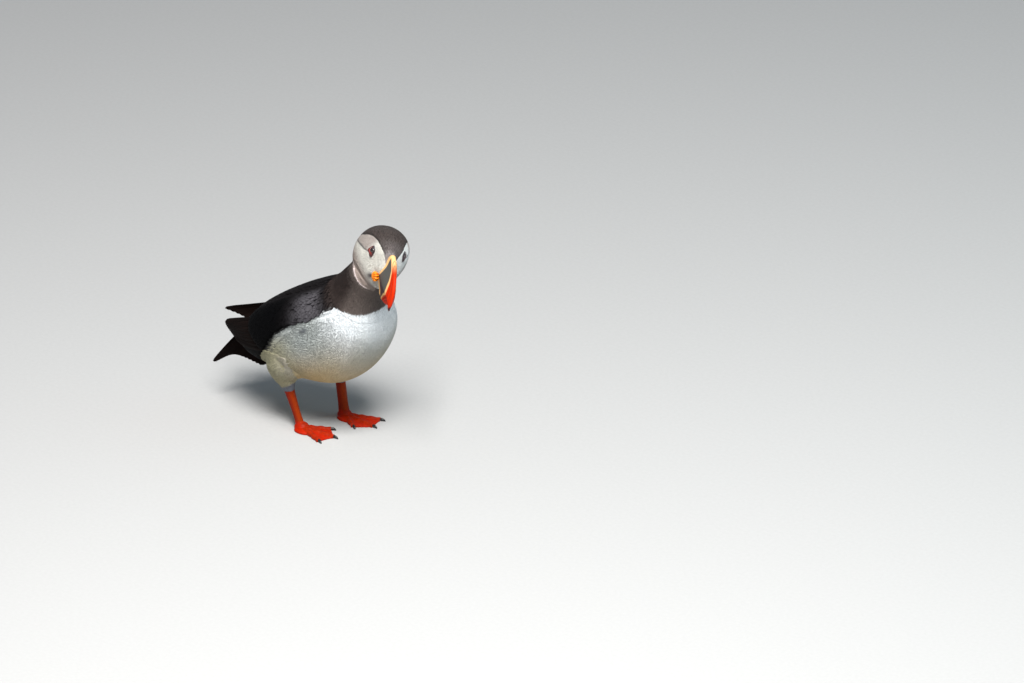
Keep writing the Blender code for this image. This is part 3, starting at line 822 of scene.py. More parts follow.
def coat(name, strands, colour_at, paint, slot, width, depth, thick, outline=TUFT, section=STRAND,
         reach=4 * MM, shade=(0.5, 1.0), vary=0.04, banded=False):
    """A tract of feathers laid onto the skin.

    Those whose root lies further from the skin than the reach, and those that folds of the skin would stretch
    or crumple, are dropped. Each feather has one colour, or with banded the markings run across it."""
    path, t_seen, turn_seen, unwrap = strands
    spine = conformed(path)
    planned, laid = (np.linalg.norm(np.diff(way, axis=1), axis=-1).sum(1) for way in (path, spine))
    near = np.linalg.norm(path[:, 0] - spine[:, 0], axis=-1) < reach
    kept = near & (np.abs(laid / planned - 1) < STRETCH)
    spine, t_seen, turn_seen, unwrap = (values[kept] for values in (spine, t_seen, turn_seen, unwrap))
    width, depth, vary = (np.broadcast_to(value, kept.shape)[kept] for value in (width, depth, vary))
    up = unit(conformed(path[kept], MM) - spine)
    side = unit(np.cross(unit(np.gradient(spine, axis=1)), up))
    spine = spine + up * (outline[:, 3] * depth[:, None])[..., None]
    middle = len(outline) // 2
    seen = spine[:, middle]
    tone = np.maximum(rng.normal(1, vary), 0.4) * (1 + 0.04 * ripples(seen, 9 * MM, 3))
    if banded:
        marking = colour_at(t_seen, turn_seen, spine)
    else:
        marking = colour_at(t_seen[:, middle], turn_seen[:, middle], seen)[:, None]
    # The shade pair darkens each feather towards its root: painted shade where feathers overlap, together
    # with their grey down; above 1 it lightens the tips: pale edges with a painted sheen.
    colour = marking * tone[:, None, None] * np.interp(outline[:, 0], (0, 0.85), shade)[:, None]
    return blades(name, spine, side, up, width / 2, np.full(len(spine), thick), outline, section,
                  np.clip(colour, 0, 1), unwrap, paint)


def halves(turn):
    """The two sides of a form, and which roots lie on each."""
    return ("right", turn < 0), ("left", turn >= 0)


def inside_thigh_coat(side, place):
    """How deep points lie inside the tract of a thigh and of the flank above it, and less than 0 outside."""
    x, y, z = np.moveaxis(place, -1, 0)
    axis_x, axis_y = (np.interp(z, THIGHS[side][::-1, 2], THIGHS[side][::-1, column]) for column in (0, 1))
    outward = (y - axis_y) * np.sign(axis_y)
    reach = np.hypot(x - axis_x, np.where(outward > 0, 0.8, 1.6) * outward)
    return np.where(y * axis_y > 0, np.minimum(THIGH_TRACT - reach, THIGH_TRACT_ENDS[1] - z), -1.0)


def make_breast_coat():
    """White tufts below the wings and dark ones on the rump, and closer ones towards the collar."""
    wide_rows = rooted(body, (-0.02, 0.72), row_gap=1.7 * MM, gap=0.56 * MM, seed=1)
    close_rows = rooted(body, (0.72, 0.8), row_gap=1.1 * MM, gap=0.5 * MM, seed=8)
    t, turn = (np.concatenate(both) for both in zip(wide_rows, close_rows))
    bare = (t > 0.27) & (np.degrees(np.abs(turn)) < np.interp(t, *WING_BORDER.T) - 7)
    on_thighs = np.maximum(*(inside_thigh_coat(side, body(t, turn)) for side in THIGHS))
    bare |= on_thighs > rng.uniform(8, 14, len(t)) * MM
    t, turn = t[~bare], turn[~bare]
    swing = 0.08 * ripples(body(t, turn), 30 * MM, 5) + rng.normal(0, 0.03, len(t))
    length = rng.uniform(0.9, 1.1, len(t)) * np.interp(t, (0.66, 0.78), (9.5, 4.5)) * MM
    for name, half in halves(turn):
        strands = over(body, t[half], turn[half], length[half], swing[half], TUFT)
        coat("breast_coat_" + name, strands, body_colour, DOWN, "white_plumage", width=1.05 * MM,
             depth=0.8 * TRUNK_COAT, thick=TUFT_THICKNESS, reach=3 * MM, shade=(0.93, 1.0), banded=True)


def make_collar_coat():
    """Short dark tufts all round the neck."""
    t, turn = rooted(body, (0.785, 0.94), row_gap=1.2 * MM, gap=0.5 * MM, seed=2)
    strands = over(body, t, turn, rng.uniform(4, 5, len(t)) * MM, rng.normal(0, 0.04, len(t)), TUFT)
    coat("collar_coat", strands, neck_colour, SLEEK, "black_plumage", width=0.75 * MM, depth=NECK_COAT,
         thick=0.03 * MM, reach=6 * MM, vary=0.1, banded=True)


def on_edges(times):
    """Roots at random places along the edges of the skin's mesh, so many on each, and its normals there."""
    ends = np.empty(len(skin.data.edges) * 2, int)
    skin.data.edges.foreach_get("vertices", ends)
    ends = np.tile(ends.reshape(-1, 2), (times, 1))
    first, second = (read_vertices(skin.data)[ends] - SHIFT).swapaxes(0, 1)
    root = first + (second - first) * rng.uniform(size=(len(first), 1))
    return root, unit(read_vertices(skin.data, "normal")[ends].sum(1))


def under_face():
    """Roots, normals and headings along the face's lower edge, where the head rounds off into the neck."""
    root, normal = on_edges(2)
    x, y, z = np.moveaxis(to_head(root) / MM, -1, 0)
    a, b, c = FACE_PLANE
    above = z - a * x - b * np.abs(y) - c
    near = (np.abs(above - 1) < 10) & (x > -31) & (x < 0) & (z < -6) & (root[:, 2] > 135 * MM)
    down = unit(body(0.8, 0.0) - body(0.93, 0.0))
    back = -HEAD_TURN[:, 0]
    return root[near], normal[near], unit(down + back * smooth(-3, 8, above[near])[:, None])


def make_throat_coat():
    """Short tufts where the face's lower edge meets the collar."""
    strands = combed(*under_face(), 2.2 * MM, TUFT)
    coat("throat_coat", strands, throat_colour, SLEEK, "black_plumage", width=0.6 * MM, depth=NECK_COAT,
         thick=0.02 * MM, vary=0.08, shade=(0.8, 1.0), banded=True)


def make_head_coats():
    """Short tufts on crown and cheeks, more even in tone on the face than on the crown."""
    t, turn = rooted(head, (0.02, 0.998), row_gap=1.0 * MM, gap=0.42 * MM, seed=3)
    for name, half in halves(turn):
        length = np.interp(t[half], (0.3, 0.9), (3.4, 2.7)) * MM
        strands = over(head, t[half], turn[half], length, rng.normal(0, 0.05, half.sum()), TUFT)
        vary = np.where(on_face(head(t[half], turn[half])), 0.05, 0.3)
        coat("head_coat_" + name, strands, head_marking, DOWN, "white_plumage", reach=5 * MM, vary=vary,
             **HEAD_TUFT)


def face_front(t, turn):
    """The face's front, from its rim at t = 0 inwards to under the bill at 1, bulging forwards."""
    t, turn = np.broadcast_arrays(np.asarray(t, float), turn)
    rim = head(1.0, turn)
    middle = head(np.array(1.0), full_turn(24)).mean(0)
    bulge = HEAD_TURN[:, 0] * (5 * MM * np.sin(np.pi / 2 * t))[..., None]
    return rim + (middle - rim) * 0.75 * t[..., None] + bulge


def make_face_front_coat():
    """The shortest tufts, round the base of the bill."""
    t, turn = rooted(face_front, (0.02, 0.98), row_gap=0.9 * MM, gap=0.4 * MM, seed=7)
    strands = over(face_front, t, turn, 2.0 * MM, rng.normal(0, 0.05, len(t)), TUFT)
    coat("face_front_coat", strands, head_marking, DOWN, "white_plumage", reach=6 * MM, **HEAD_TUFT)


def make_back_coat():
    """Dark leaf-shaped feathers on back and wings, which grow smaller towards the neck."""
    t, turn = rooted(body, (0.2, 0.8), row_gap=2.2 * MM, gap=2.0 * MM, seed=4)
    dark = np.degrees(np.abs(turn)) < np.interp(t, *WING_BORDER.T) - 1 - 8 * smooth(0.66, 0.73, t)
    t, turn = t[dark], turn[dark]
    length = np.interp(t, (0.3, 0.8), (11, 5)) * MM
    strands = over(body, t, turn, length, rng.normal(0, 0.05, len(t)), VANE)
    width = np.interp(t, (0.3, 0.65, 0.78), (5.5, 3.6, 1.8)) * MM
    coat("back_coat", strands, back_colour, PLUMAGE, "black_plumage", width=width, depth=WING_COAT,
         thick=0.1 * MM, outline=VANE, section=LEAF, reach=8 * MM, shade=(0.6, 1.1), vary=0.09)


def on_thigh(side):
    """Roots, normals and headings over a thigh and the flank above it, combed back above and down below."""
    root, normal = on_edges(1)
    dense = smooth(0, 8 * MM, inside_thigh_coat(side, root))
    near = (rng.uniform(size=len(root)) < dense) & (root[:, 2] > THIGH_TRACT_ENDS[0])
    root, normal = root[near], normal[near]
    downward = smooth(70 * MM, 50 * MM, root[:, 2])[:, None]
    return root, normal, unit(np.array((-1, 0, -0.35)) * (1 - downward) + np.array((-0.15, 0, -1)) * downward)


def make_thigh_coats():
    """Tufts that reach down over each thigh and thin out into the coat round it."""
    for side in THIGHS:
        strands = combed(*on_thigh(side), 6 * MM, TUFT)
        coat("thigh_coat_" + side, strands, thigh_colour, DOWN, "white_plumage", width=0.85 * MM,
             depth=THIGH_COAT, thick=TUFT_THICKNESS, shade=(0.93, 1.0))


make_breast_coat()
make_collar_coat()
make_throat_coat()
make_head_coats()
make_face_front_coat()
make_back_coat()
make_thigh_coats()

mark_skin()


# ---- Flight and tail feathers ------------------------------------------------------------------------------

# Tips of the flight feathers, from the topmost one down.
QUILL_TIPS = {
    "right": MM * np.array([(-101, -8, 69.5), (-98, -9.5, 67), (-90, -13.5, 64.5), (-78, -21, 63.5)]),
    "left": MM * np.array([(-121.5, 9.5, 70.5), (-104, 10, 70), (-92, 14, 66), (-78, 21, 63.5)]),
}
# The quills start this share of the way down the wing's rear end, and leave the body at this t.
QUILLS_FROM = 0.3
QUILLS_LEAVE = 0.16
QUILL_HALF_WIDTH = 3.4 * MM
QUILL_THICKNESS = 0.45 * MM
TAIL_ROOT = MM * np.array((-79, 0, 64))
TAIL_TIPS = MM * np.array([(-84, 24, 21), (-97, 0, 36), (-100.5, -26, 37)])
TAIL_ROOT_WIDTH = 9 * MM
TAIL_HALF_WIDTH = 5 * MM
QUILL_BLACK = rgb(19, 12, 10)


def fan(name, spines, normal, half, paint):
    """Overlapping flight feathers along spines of one fan, ordered from the topmost one."""
    count, middle = len(spines), spines.shape[1] // 2
    ahead = unit(np.gradient(spines, axis=1))
    up = np.cross(np.gradient(spines, axis=0), ahead)[:, middle:middle + 1]
    up = unit(up * np.sign((up * normal).sum(-1, keepdims=True)))
    side = unit(np.cross(ahead, up))
    up = np.cross(side, ahead)
    stack = np.linspace(0.45, -0.45, count)[:, None, None] * MM
    spines = spines + up * stack * np.interp(QUILL[:, 0], (0, 0.3), (0.3, 1))[:, None]
    # Feathers are painted darker at the root and lighter at the tip: painted shade where they overlap and a
    # painted sheen on their edges.
    shade = np.interp(QUILL[:, 0], (0, 0.8, 1), (0.8, 1, 1.5))[:, None]
    colour = QUILL_BLACK * rng.normal(1, 0.15, count)[:, None, None] * shade
    patch = np.linspace(0.1, 0.9, count)
    return blades(name, spines, side, up, np.full(count, half), np.full(count, QUILL_THICKNESS), QUILL,
                  RIBBED, colour, points(patch, patch), paint)


def make_quills(side, sign):
    """Flight feathers from under a wing's rear end past the flank to their tips, each on a parabola."""
    share, k = np.linspace(0.08, 0.94, 9), QUILL[:, 0][:, None, None]
    t, turn = wing_place(np.array(1.0), QUILLS_FROM + (1 - QUILLS_FROM) * share)
    start = off(body, t + 0.01, sign * turn, np.full_like(turn, 1.2 * MM))
    flank = off(body, np.full_like(turn, QUILLS_LEAVE), sign * turn, np.full_like(turn, 3 * MM))
    strands = (1 - k)**2 * start + 2 * k * (1 - k) * flank + k**2 * along(QUILL_TIPS[side], share)
    outward = off(body, t, sign * turn, np.full_like(turn, 1.0)) - body(t, sign * turn)
    piece = fan("flight_" + side, strands.swapaxes(0, 1), outward[:, None], QUILL_HALF_WIDTH, PLUMAGE)
    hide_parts("quills_" + side)


def make_tail():
    """Straight tail feathers, from a short row of roots out to the curve of their tips."""
    b, k = np.linspace(-0.94, 0.94, 16), QUILL[:, 0][:, None, None]
    left = unit(TAIL_TIPS[0] - TAIL_TIPS[2])
    roots = TAIL_ROOT - b[:, None] * left * TAIL_ROOT_WIDTH
    middle = roots + k * (along(TAIL_TIPS, (b + 1) / 2) - roots)
    piece = fan("tail_feathers", middle.swapaxes(0, 1), np.array((-0.5, 0, 1.0)), TAIL_HALF_WIDTH, PLUMAGE)
    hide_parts("tail")


for side, sign in SIDES:
    make_quills(side, sign)
make_tail()


# ---- Bill --------------------------------------------------------------------------------------------------

# The halves of the bill from base to tip, in the head's frame: where a section meets the ridge or keel, as x
# and z, where it meets the cutting edge, and its half-width.
UPPER_BILL = MM * np.array([
    (3, 17.5, -3, -4, 7.8),
    (12, 18.5, 7, -4, 7.3),
    (22, 16.5, 17, -4.4, 6.4),
    (32, 11.5, 27, -4.8, 5.2),
    (40.2, 3, 36.3, -5.4, 3.6),
    (43.8, -11.6, 41.8, -13.2, 0.5),
])
LOWER_BILL = MM * np.array([
    (5, -20.5, -3, -4.5, 7.0),
    (13, -20.5, 6, -4.5, 6.4),
    (21, -18.5, 16, -4.9, 5.5),
    (29, -15.0, 26, -5.3, 4.3),
    (36.5, -11, 35, -6.2, 2.9),
    (41, -9.6, 41, -8.4, 1.2),
])
# Where the cream ridge crosses: degrees from culmen or keel towards the cutting edge, and t from base to tip.
RIDGE = {
    "upper": np.array([(0, 0.08), (17, 0.15), (34, 0.40), (57, 0.54), (78, 0.62), (90, 0.65)]),
    "lower": np.array([(0, 0.2), (30, 0.25), (50, 0.37), (65, 0.47), (80, 0.58), (90, 0.62)]),
}
# Where the cream base ends, in the same way, and how far ahead of the ridge the grooves run.
BASE_LINE = np.array([(0, 0.06), (20, 0.07), (40, 0.095), (60, 0.15), (75, 0.155), (83, 0.14), (90, 0.1)])
GROOVES = (0.12, 0.235)
# How far the bill lies aside towards the bird's left, how wide it is, and how hollow its sides are.
BILL_ASIDE = 2.0 * MM
BILL_NARROWER = 0.9
BILL_HOLLOW = 0.35
# From this t on the bill's end is rounded off.
BILL_BLUNT = 0.965

SLATE = rgb(78, 77, 74)
LOWER_SLATE = rgb(78, 58, 62)
CREAM = rgb(226, 178, 118)
YELLOW = rgb(218, 178, 122)
RED_ORANGE = rgb(192, 38, 0)
TIP_DARK = rgb(26, 17, 18)
# Painted shade for the grooves of the red horn.
GROOVE_SHADE = rgb(120, 24, 6)


def bill_half(table, t, sweep, larger):
    """An arch from the left cutting edge over ridge or keel to the right one, in the head's frame."""
    ridge_x, ridge_z, edge_x, edge_z, half_width = np.moveaxis(along(table, t), -1, 0)
    height = np.sin(sweep) ** 0.9 * larger
    side = np.cos(sweep) * (1 - BILL_HOLLOW * np.sin(2 * sweep)**2) * larger
    y = BILL_NARROWER * half_width * side + BILL_ASIDE
    return points(edge_x + height * (ridge_x - edge_x), y, edge_z + height * (ridge_z - edge_z))


def make_bill(which, table, sign):
    """Half a bill: a swollen cream base, a slate field, a raised cream ridge and grooved red horn."""
    end = 1 - (1 - BILL_BLUNT) * np.cos(np.linspace(0.2, np.pi / 2, 8))
    t = np.concatenate([np.linspace(0, BILL_BLUNT, 110), end])[:, None]
    sweep = np.linspace(0.004, np.pi - 0.004, 72)
    away = np.degrees(np.abs(sweep - np.pi / 2))
    ridge, base = np.interp(away, *RIDGE[which].T), np.interp(away, *BASE_LINE.T)
    ahead = t - ridge
    larger = 1 + 0.05 * np.exp(-((t - 0.03) / 0.04)**4)
    place = bill_half(table, *np.broadcast_arrays(t, sweep), larger)
    out = unit(np.cross(np.gradient(place, axis=0), np.gradient(place, axis=1))) * -sign
    grooves = sum(np.exp(-((ahead - groove) / 0.014)**2) for groove in GROOVES)
    relief = 0.35 * np.exp(-(ahead / 0.022)**2) * (t > base) - 0.4 * grooves
    relief = relief - 0.25 * np.exp(-((t - base - 0.015) / 0.015)**2)
    place = place + out * (relief * smooth(90, 80, away) * MM)[..., None]
    middle = place.mean(1, keepdims=True)
    blunt = np.sqrt(np.clip(1 - ((t - BILL_BLUNT) / 0.036)**2, 0.01, 1))[..., None]
    place = np.where(t[..., None] > BILL_BLUNT, middle + (place - middle) * blunt, place)
    colour = bill_colour(which, t, away, ahead, base, grooves)
    if which == "upper":
        place, colour = place[:, ::-1], colour[:, ::-1]
    vertices, faces = tube_form(place)
    piece = shell("horn_" + which, from_head(vertices), faces, HORN, colour)
    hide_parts("bill_" + which, "rim_" + which)


def bill_colour(which, t, away, ahead, base, grooves):
    """A bill's markings, by t, the degrees away from culmen or keel, and how far a point lies ahead of the
    cream ridge."""
    upper = which == "upper"
    horn = mixed(RED_ORANGE, YELLOW, smooth(0.5, 0.2, t) * upper)
    # Painted shade in the grooves of the red horn.
    horn = mixed(horn, GROOVE_SHADE, 0.75 * grooves)
    horn = mixed(horn, TIP_DARK, 0.95 * smooth(0.935, 0.965, t))
    # The slate turns yellow along the culmen: the bill's own yellow with a painted highlight on the ridge.
    slate = mixed(SLATE if upper else LOWER_SLATE, YELLOW, smooth(28, 12, away) * upper)
    colour = np.where((ahead < 0)[..., None], slate, horn)
    from_middle = away if upper else away + 90
    colour = mixed(colour, CREAM, np.exp(-(ahead / 0.038)**4) * smooth(5, 12, from_middle))
    if not upper:
        # A cream line along the keel: the bill's own cream with a painted highlight on its edge.
        colour = mixed(colour, CREAM, smooth(24, 14, away) * smooth(0.02, 0, ahead))
    colour = mixed(colour, CREAM, smooth(base + 0.02, base, t))
    return mixed(colour, YELLOW, 0.6 * smooth(0.05, 0.0, t))


make_bill("upper", UPPER_BILL, 1)
make_bill("lower", LOWER_BILL, -1)


# ---- Rosettes and eyes -------------------------------------------------------------------------------------

ROSETTE_PLACES = {"right": MM * np.array((1.6, -6.9, -6.5)), "left": MM * np.array((1.2, 7.6, -6.6))}
ROSETTE_SIZE = MM * np.array((3.0, 4.0, 3.8))
EYE_PLACES = {"right": MM * np.array((-10, -14.2, 11.3)), "left": MM * np.array((-12.5, 16.2, 9.8))}
EYE_AXIS = np.array((0.47, 0.81, 0.35))
# The eyeball's middle seen from its place: outwards, forwards and up.
EYE_SHIFT = MM * np.array((-2.0, 0.9, 0.7))
EYEBALL_RADIUS = 3.0 * MM
LID_OPENING = 2.3 * MM
# Rear, lower and upper corner of the horny skin round the eye, forwards and up from the eyeball's middle.
LID_CORNERS = MM * np.array([(-5.0, -3.0), (1.6, -5.8), (-0.6, 4.9)])
# Its section: share of the way out, and height in mm.
LID_SECTION = np.array([(0, -1.2), (0, 0.5), (0.12, 0.85), (0.45, 0.75), (0.8, 0.5), (1, -0.1), (1, -1.2)])
LID_NARROWEST = 0.9 * MM
# How the head curves away under the lids.
LID_BEND_RADIUS = 22 * MM

PUPIL = rgb(8, 7, 8)
IRIS = rgb(52, 32, 26)
LID_RED = rgb(116, 34, 28)
LID_BROWN = rgb(84, 32, 32)
LID_BLACK = rgb(40, 32, 36)
ROSETTE_ORANGE = rgb(232, 132, 20)
# Painted shade in the depths of the rosette's pleats.
ROSETTE_FOLD_SHADE = rgb(160, 62, 12)


def ball(centre, axes, size, rings=24, around=36, relief=None):
    """A closed ellipsoid whose poles lie along the first axis, and its polar angle and turn."""
    angle, turn = np.broadcast_arrays(np.linspace(np.pi, 0, rings)[1:-1, None], full_turn(around))
    radius = 1 + relief(angle, turn) if relief else 1
    local = points(np.cos(angle), np.sin(angle) * np.sin(turn), np.sin(angle) * np.cos(turn))
    vertices, faces = tube_form(centre + (local * np.asarray(radius)[..., None] * size) @ axes)
    return vertices, faces, angle, turn


def facing(axis, upward=(0, 0, 1)):
    """Rows: the axis, its left and its up."""
    out = unit(np.array(axis, float))
    left = unit(np.cross(upward, out))
    return np.array((out, left, np.cross(out, left)))


def closed_both(rows, columns):
    """Quads of a grid closed in both directions."""
    index = np.pad(np.arange(rows * columns).reshape(rows, columns), (0, 1), "wrap")
    return grid_faces_of(index).reshape(-1, 4).tolist()


def lid_reach(way):
    """How far the horny skin round the eye reaches: a rounded triangle through LID_CORNERS."""
    corner = np.arctan2(LID_CORNERS[:, 1], LID_CORNERS[:, 0])
    near = np.exp(-((way - corner + np.pi) % (2 * np.pi) - np.pi)**2 / 0.22)
    least = LID_OPENING + LID_NARROWEST
    return least + (near * (np.hypot(*LID_CORNERS.T) - least)).sum(-1, keepdims=True)


def rosette_folds(angle, turn):
    """Pleats from pole to pole of a rosette, a little twisted, as a share of its size."""
    return 0.13 * np.sin(angle) * np.cos(9 * turn + 0.6 * np.sin(3 * angle)) + 0.05 * np.cos(5 * angle)


def make_rosette(side, sign):
    """The folded skin at a corner of the mouth: a pleated ball, with painted shade in the depths of its
    pleats.
    """
    axes = facing((0.25, sign, 0))
    vertices, faces, angle, turn = ball(ROSETTE_PLACES[side], axes, ROSETTE_SIZE, 40, 90, rosette_folds)
    colour = mixed(ROSETTE_FOLD_SHADE, ROSETTE_ORANGE, smooth(-0.1, 0.06, rosette_folds(angle, turn)))
    piece = shell("gape_rosette_" + side, from_head(vertices), faces, FOLDED, colour)
    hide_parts("rosette_" + side)


def eye_axes(sign):
    """Rows: outwards from an eye, forwards and up."""
    return facing(EYE_AXIS * (1, sign, 1)) * [(1,), (-sign,), (1,)]


def make_eyeball(side, sign):
    """A ball with a dark pupil, a brown iris and a dark rim."""
    centre = EYE_PLACES[side] + EYE_SHIFT @ eye_axes(sign)
    axes = facing(EYE_AXIS * (1, sign, 1))
    vertices, faces, angle, turn = ball(centre, axes, np.full(3, EYEBALL_RADIUS), 48, 48)
    away = np.degrees(angle)
    colour = mixed(PUPIL, IRIS, smooth(27, 31, away) * smooth(52, 46, away))
    piece = shell("eyeball_" + side, from_head(vertices), faces, WET, colour)
    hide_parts("eye_" + side)


def make_lid(side, sign):
    """The horny skin round an eye: LID_SECTION carried round it between its opening and lid_reach."""
    section = LID_SECTION[::-sign]
    way = full_turn(72)[:, None]
    reach = LID_OPENING + section[:, 0] * (lid_reach(way) - LID_OPENING)
    height = section[:, 1] * MM - reach**2 / (2 * LID_BEND_RADIUS)
    local = points(height, reach * np.cos(way) + EYE_SHIFT[1], reach * np.sin(way) + EYE_SHIFT[2])
    colour = mixed(LID_RED, LID_BROWN, smooth(0.0, 0.5, section[:, 0]))
    colour = mixed(colour, LID_BLACK, smooth(-0.1, 0.6, np.cos(way - 0.6)))
    below = smooth(4.5 * MM, 6.5 * MM, reach) * smooth(-0.7, -0.95, np.sin(way))
    colour = mixed(colour, LID_BLACK, below)
    # The far eye's lid is painted almost black: painted shade.
    if side == "left":
        colour = mixed(colour, LID_BLACK, np.array(0.85))
    faces = closed_both(*reach.shape)
    vertices = from_head(EYE_PLACES[side] + local @ eye_axes(sign))
    shell("eyelid_" + side, vertices, faces, LID, colour)


for side, sign in SIDES:
    make_rosette(side, sign)
    make_eyeball(side, sign)
    make_lid(side, sign)


# ---- Legs and feet -----------------------------------------------------------------------------------------

ANKLES = {"right": MM * np.array((-3.2, -21.5, 0)), "left": MM * np.array((7.5, 22.3, 0))}
HEELS = {"right": MM * np.array((-15.3, -22.5, 31)), "left": MM * np.array((3.8, 21.5, 31))}
SHANK_RADII = {
    "right": MM * np.array([(4.9, 4.7), (4.1, 3.9), (3.6, 3.5), (4.2, 4.0)]),
    "left": MM * np.array([(4.4, 4.4), (4.4, 4.4), (4.4, 4.4), (5.2, 5.0)]),
}
FOOT_HEADINGS = {"right": np.radians(4), "left": np.radians(-4)}
TOES = {
    "inner": (np.radians(-28), 25 * MM, 3),
    "middle": (0.0, 34 * MM, 4),
    "outer": (np.radians(26), 32 * MM, 4),
}
TOE_WIDTH = 2.8 * MM
TOE_RISE = 3.0 * MM
WEB_THICKNESS = 0.9 * MM
CLAW_LENGTH = 4.6 * MM
CLAW_RADIUS = 1.35 * MM
FOOT_VOXEL = 0.42 * MM
FOOT_SMOOTHING = 5
# How far apart the scutes are on toes and shank, and how far they stand out.
TOE_SCUTE = 1.5 * MM
SHANK_SCUTE = 2.0 * MM
SCUTE_RELIEF = 0.11 * MM
# Fleshy pads under the ankle and heel, and the sole's soft edge: place from the ankle, and size.
FOOT_PADS = MM * np.array([
    ((1.2, 0, 2.2), (5.6, 5.4, 4.6)),
    ((-2.0, 0, 1.7), (4.9, 5.0, 4.0)),
    ((6, -4.8, 0.8), (9.5, 5.6, 2.5)),
])

WEB_RED = rgb(158, 28, 3)
TOE_ORANGE = rgb(148, 31, 2)
LEG_ORANGE = rgb(140, 47, 3)
LEG_SHADE = rgb(118, 22, 4)
CREASE_BROWN = rgb(110, 34, 18)
CLAW_BLACK = rgb(30, 26, 26)


def toe_headings(side, sign):
    """The toes of a foot from right to left: name, heading, length and number of joints."""
    toes = [(name, FOOT_HEADINGS[side] + sign * angle, length, joints)
            for name, (angle, length, joints) in TOES.items()]
    return sorted(toes, key=lambda toe: toe[1])


def ahead_of(ankle, heading, forward, aside):
    """x and y of points that lie so far forward and to the left of an ankle along a toe's heading."""
    x = ankle[0] + forward * np.cos(heading) - aside * np.sin(heading)
    return x, ankle[1] + forward * np.sin(heading) + aside * np.cos(heading)


def toe_form(ankle, heading, length, joints):
    """A toe from the ankle to its claw, swollen at each joint."""
    k, turn = np.linspace(0, 1, 60)[:, None], full_turn(20)
    joint = np.cos(2 * np.pi * joints * k)
    wide = TOE_WIDTH * (1.06 - 0.3 * k) * (1 + 0.09 * joint)
    tall = TOE_RISE * (1 - 0.28 * k) * (1 + 0.1 * joint)
    up = 0.9 * MM + tall * np.maximum(np.cos(turn), -0.62)
    return tube_form(points(*ahead_of(ankle, heading, (length + 0.3 * MM) * k, wide * np.sin(turn)), up))


def web_form(ankle, first, second):
    """The web between two toes, a little hollowed along its front edge."""
    k, b = np.linspace(0.1, 1, 24)[:, None], np.linspace(0, 1, 16)
    heading = first[1] + b * (second[1] - first[1])
    length = (first[2] + b * (second[2] - first[2])) * (1.0 - 0.035 * np.sin(np.pi * b))
    x, y = ahead_of(ankle, heading, k * length, 0)
    pleats = 0.25 * np.cos(2 * np.pi * 3 * b) * np.sin(np.pi * b)
    height = WEB_THICKNESS * (1.5 + pleats) + 1.6 * MM * (1 - k) + 0.7 * MM * (2 * b - 1)**4
    return slab_form(points(x, y, height), points(x, y, -0.8 * MM))


def shank_form(side):
    """The shank: ovals from above the heel joint to just over the sole."""
    down = ANKLES[side] - HEELS[side]
    middles = np.array([HEELS[side] + down * share for share in (-0.12, 0.25, 0.6, 0.93)])
    shank = limb(np.hstack([middles, SHANK_RADII[side]]))
    return tube_form(shank(np.linspace(0, 1, 50)[:, None], -full_turn(28)))


def nearest_toe(place, ankle, toes):
    """How far points lie aside from the nearest toe's middle and forward along it, and 1 at its joints."""
    aside, reach, joint = np.full(len(place), 1.0), np.zeros(len(place)), np.zeros(len(place))
    east, north = place[:, 0] - ankle[0], place[:, 1] - ankle[1]
    for name, heading, length, joints in toes:
        forward = east * np.cos(heading) + north * np.sin(heading)
        across = north * np.cos(heading) - east * np.sin(heading)
        across = np.where(forward > 0, np.abs(across), 1.0)
        nearer = across < aside
        aside, reach = np.where(nearer, across, aside), np.where(nearer, forward, reach)
        joint = np.where(nearer, np.cos(2 * np.pi * joints * forward / length), joint)
    return aside, reach, joint


def make_foot(side, sign):
    """Shank, hub, toes and webs fused into one piece, with scutes raised across toes and shank."""
    ankle, toes = ANKLES[side], toe_headings(side, sign)
    forms = [shank_form(side)] + [toe_form(ankle, *toe[1:]) for toe in toes]
    forms += [web_form(ankle, first, second) for first, second in zip(toes[:-1], toes[1:])]
    forms += [ball(ankle + place, np.eye(3), size)[:2] for place, size in FOOT_PADS]
    mesh = fused(forms, FOOT_VOXEL, FOOT_SMOOTHING)
    place, normal = read_vertices(mesh) - SHIFT, read_vertices(mesh, "normal")

    aside, reach, joint = nearest_toe(place, ankle, toes)
    on_shank = smooth(6 * MM, 9 * MM, place[:, 2])
    on_toe = smooth(TOE_WIDTH * 1.1, TOE_WIDTH * 0.8, aside) * (1 - on_shank)
    front, top = smooth(0.0, 0.6, normal[:, 0]), smooth(0.3, 0.8, normal[:, 2])
    scutes = np.abs(np.sin(np.pi * reach / TOE_SCUTE)) * on_toe * top
    scutes = scutes + np.abs(np.sin(np.pi * place[:, 2] / SHANK_SCUTE)) * on_shank * front
    up_shank = place[:, 2] / HEELS[side][2]
    place = place + normal * (SCUTE_RELIEF * (scutes - 0.5))[:, None]
    place[:, 2] = np.maximum(place[:, 2], 0)
    mesh.vertices.foreach_set("co", (place + SHIFT).ravel())

    colour = mixed(WEB_RED, TOE_ORANGE, on_toe)
    colour = mixed(colour, CREASE_BROWN, on_toe * smooth(-0.75, -1, joint) * 0.35)
    colour = mixed(colour, CREASE_BROWN, on_toe * 0.12 * smooth(0.35, 0.0, scutes) * top)
    # Painted shade darkens the shank on its side that faces the view's left, and towards the heel, under the
    # thigh.
    behind = smooth(0.4, -0.6, normal @ np.array((0.77, 0.64, 0)))
    leg = mixed(LEG_ORANGE, LEG_SHADE, behind * 0.8 + 0.3 * smooth(0.8, 1.1, up_shank))
    leg = mixed(leg, LEG_SHADE, 0.4 * smooth(0.3, 0.0, scutes) * front)
    colour = mixed(colour, leg, on_shank)
    colour = colour * (1 + 0.08 * ripples(place, 4 * MM, 21))[:, None]
    piece = filled("webbed_foot_" + side, mesh, SCALY, np.clip(colour, 0, 1))
    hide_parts("leg_" + side, "foot_" + side)


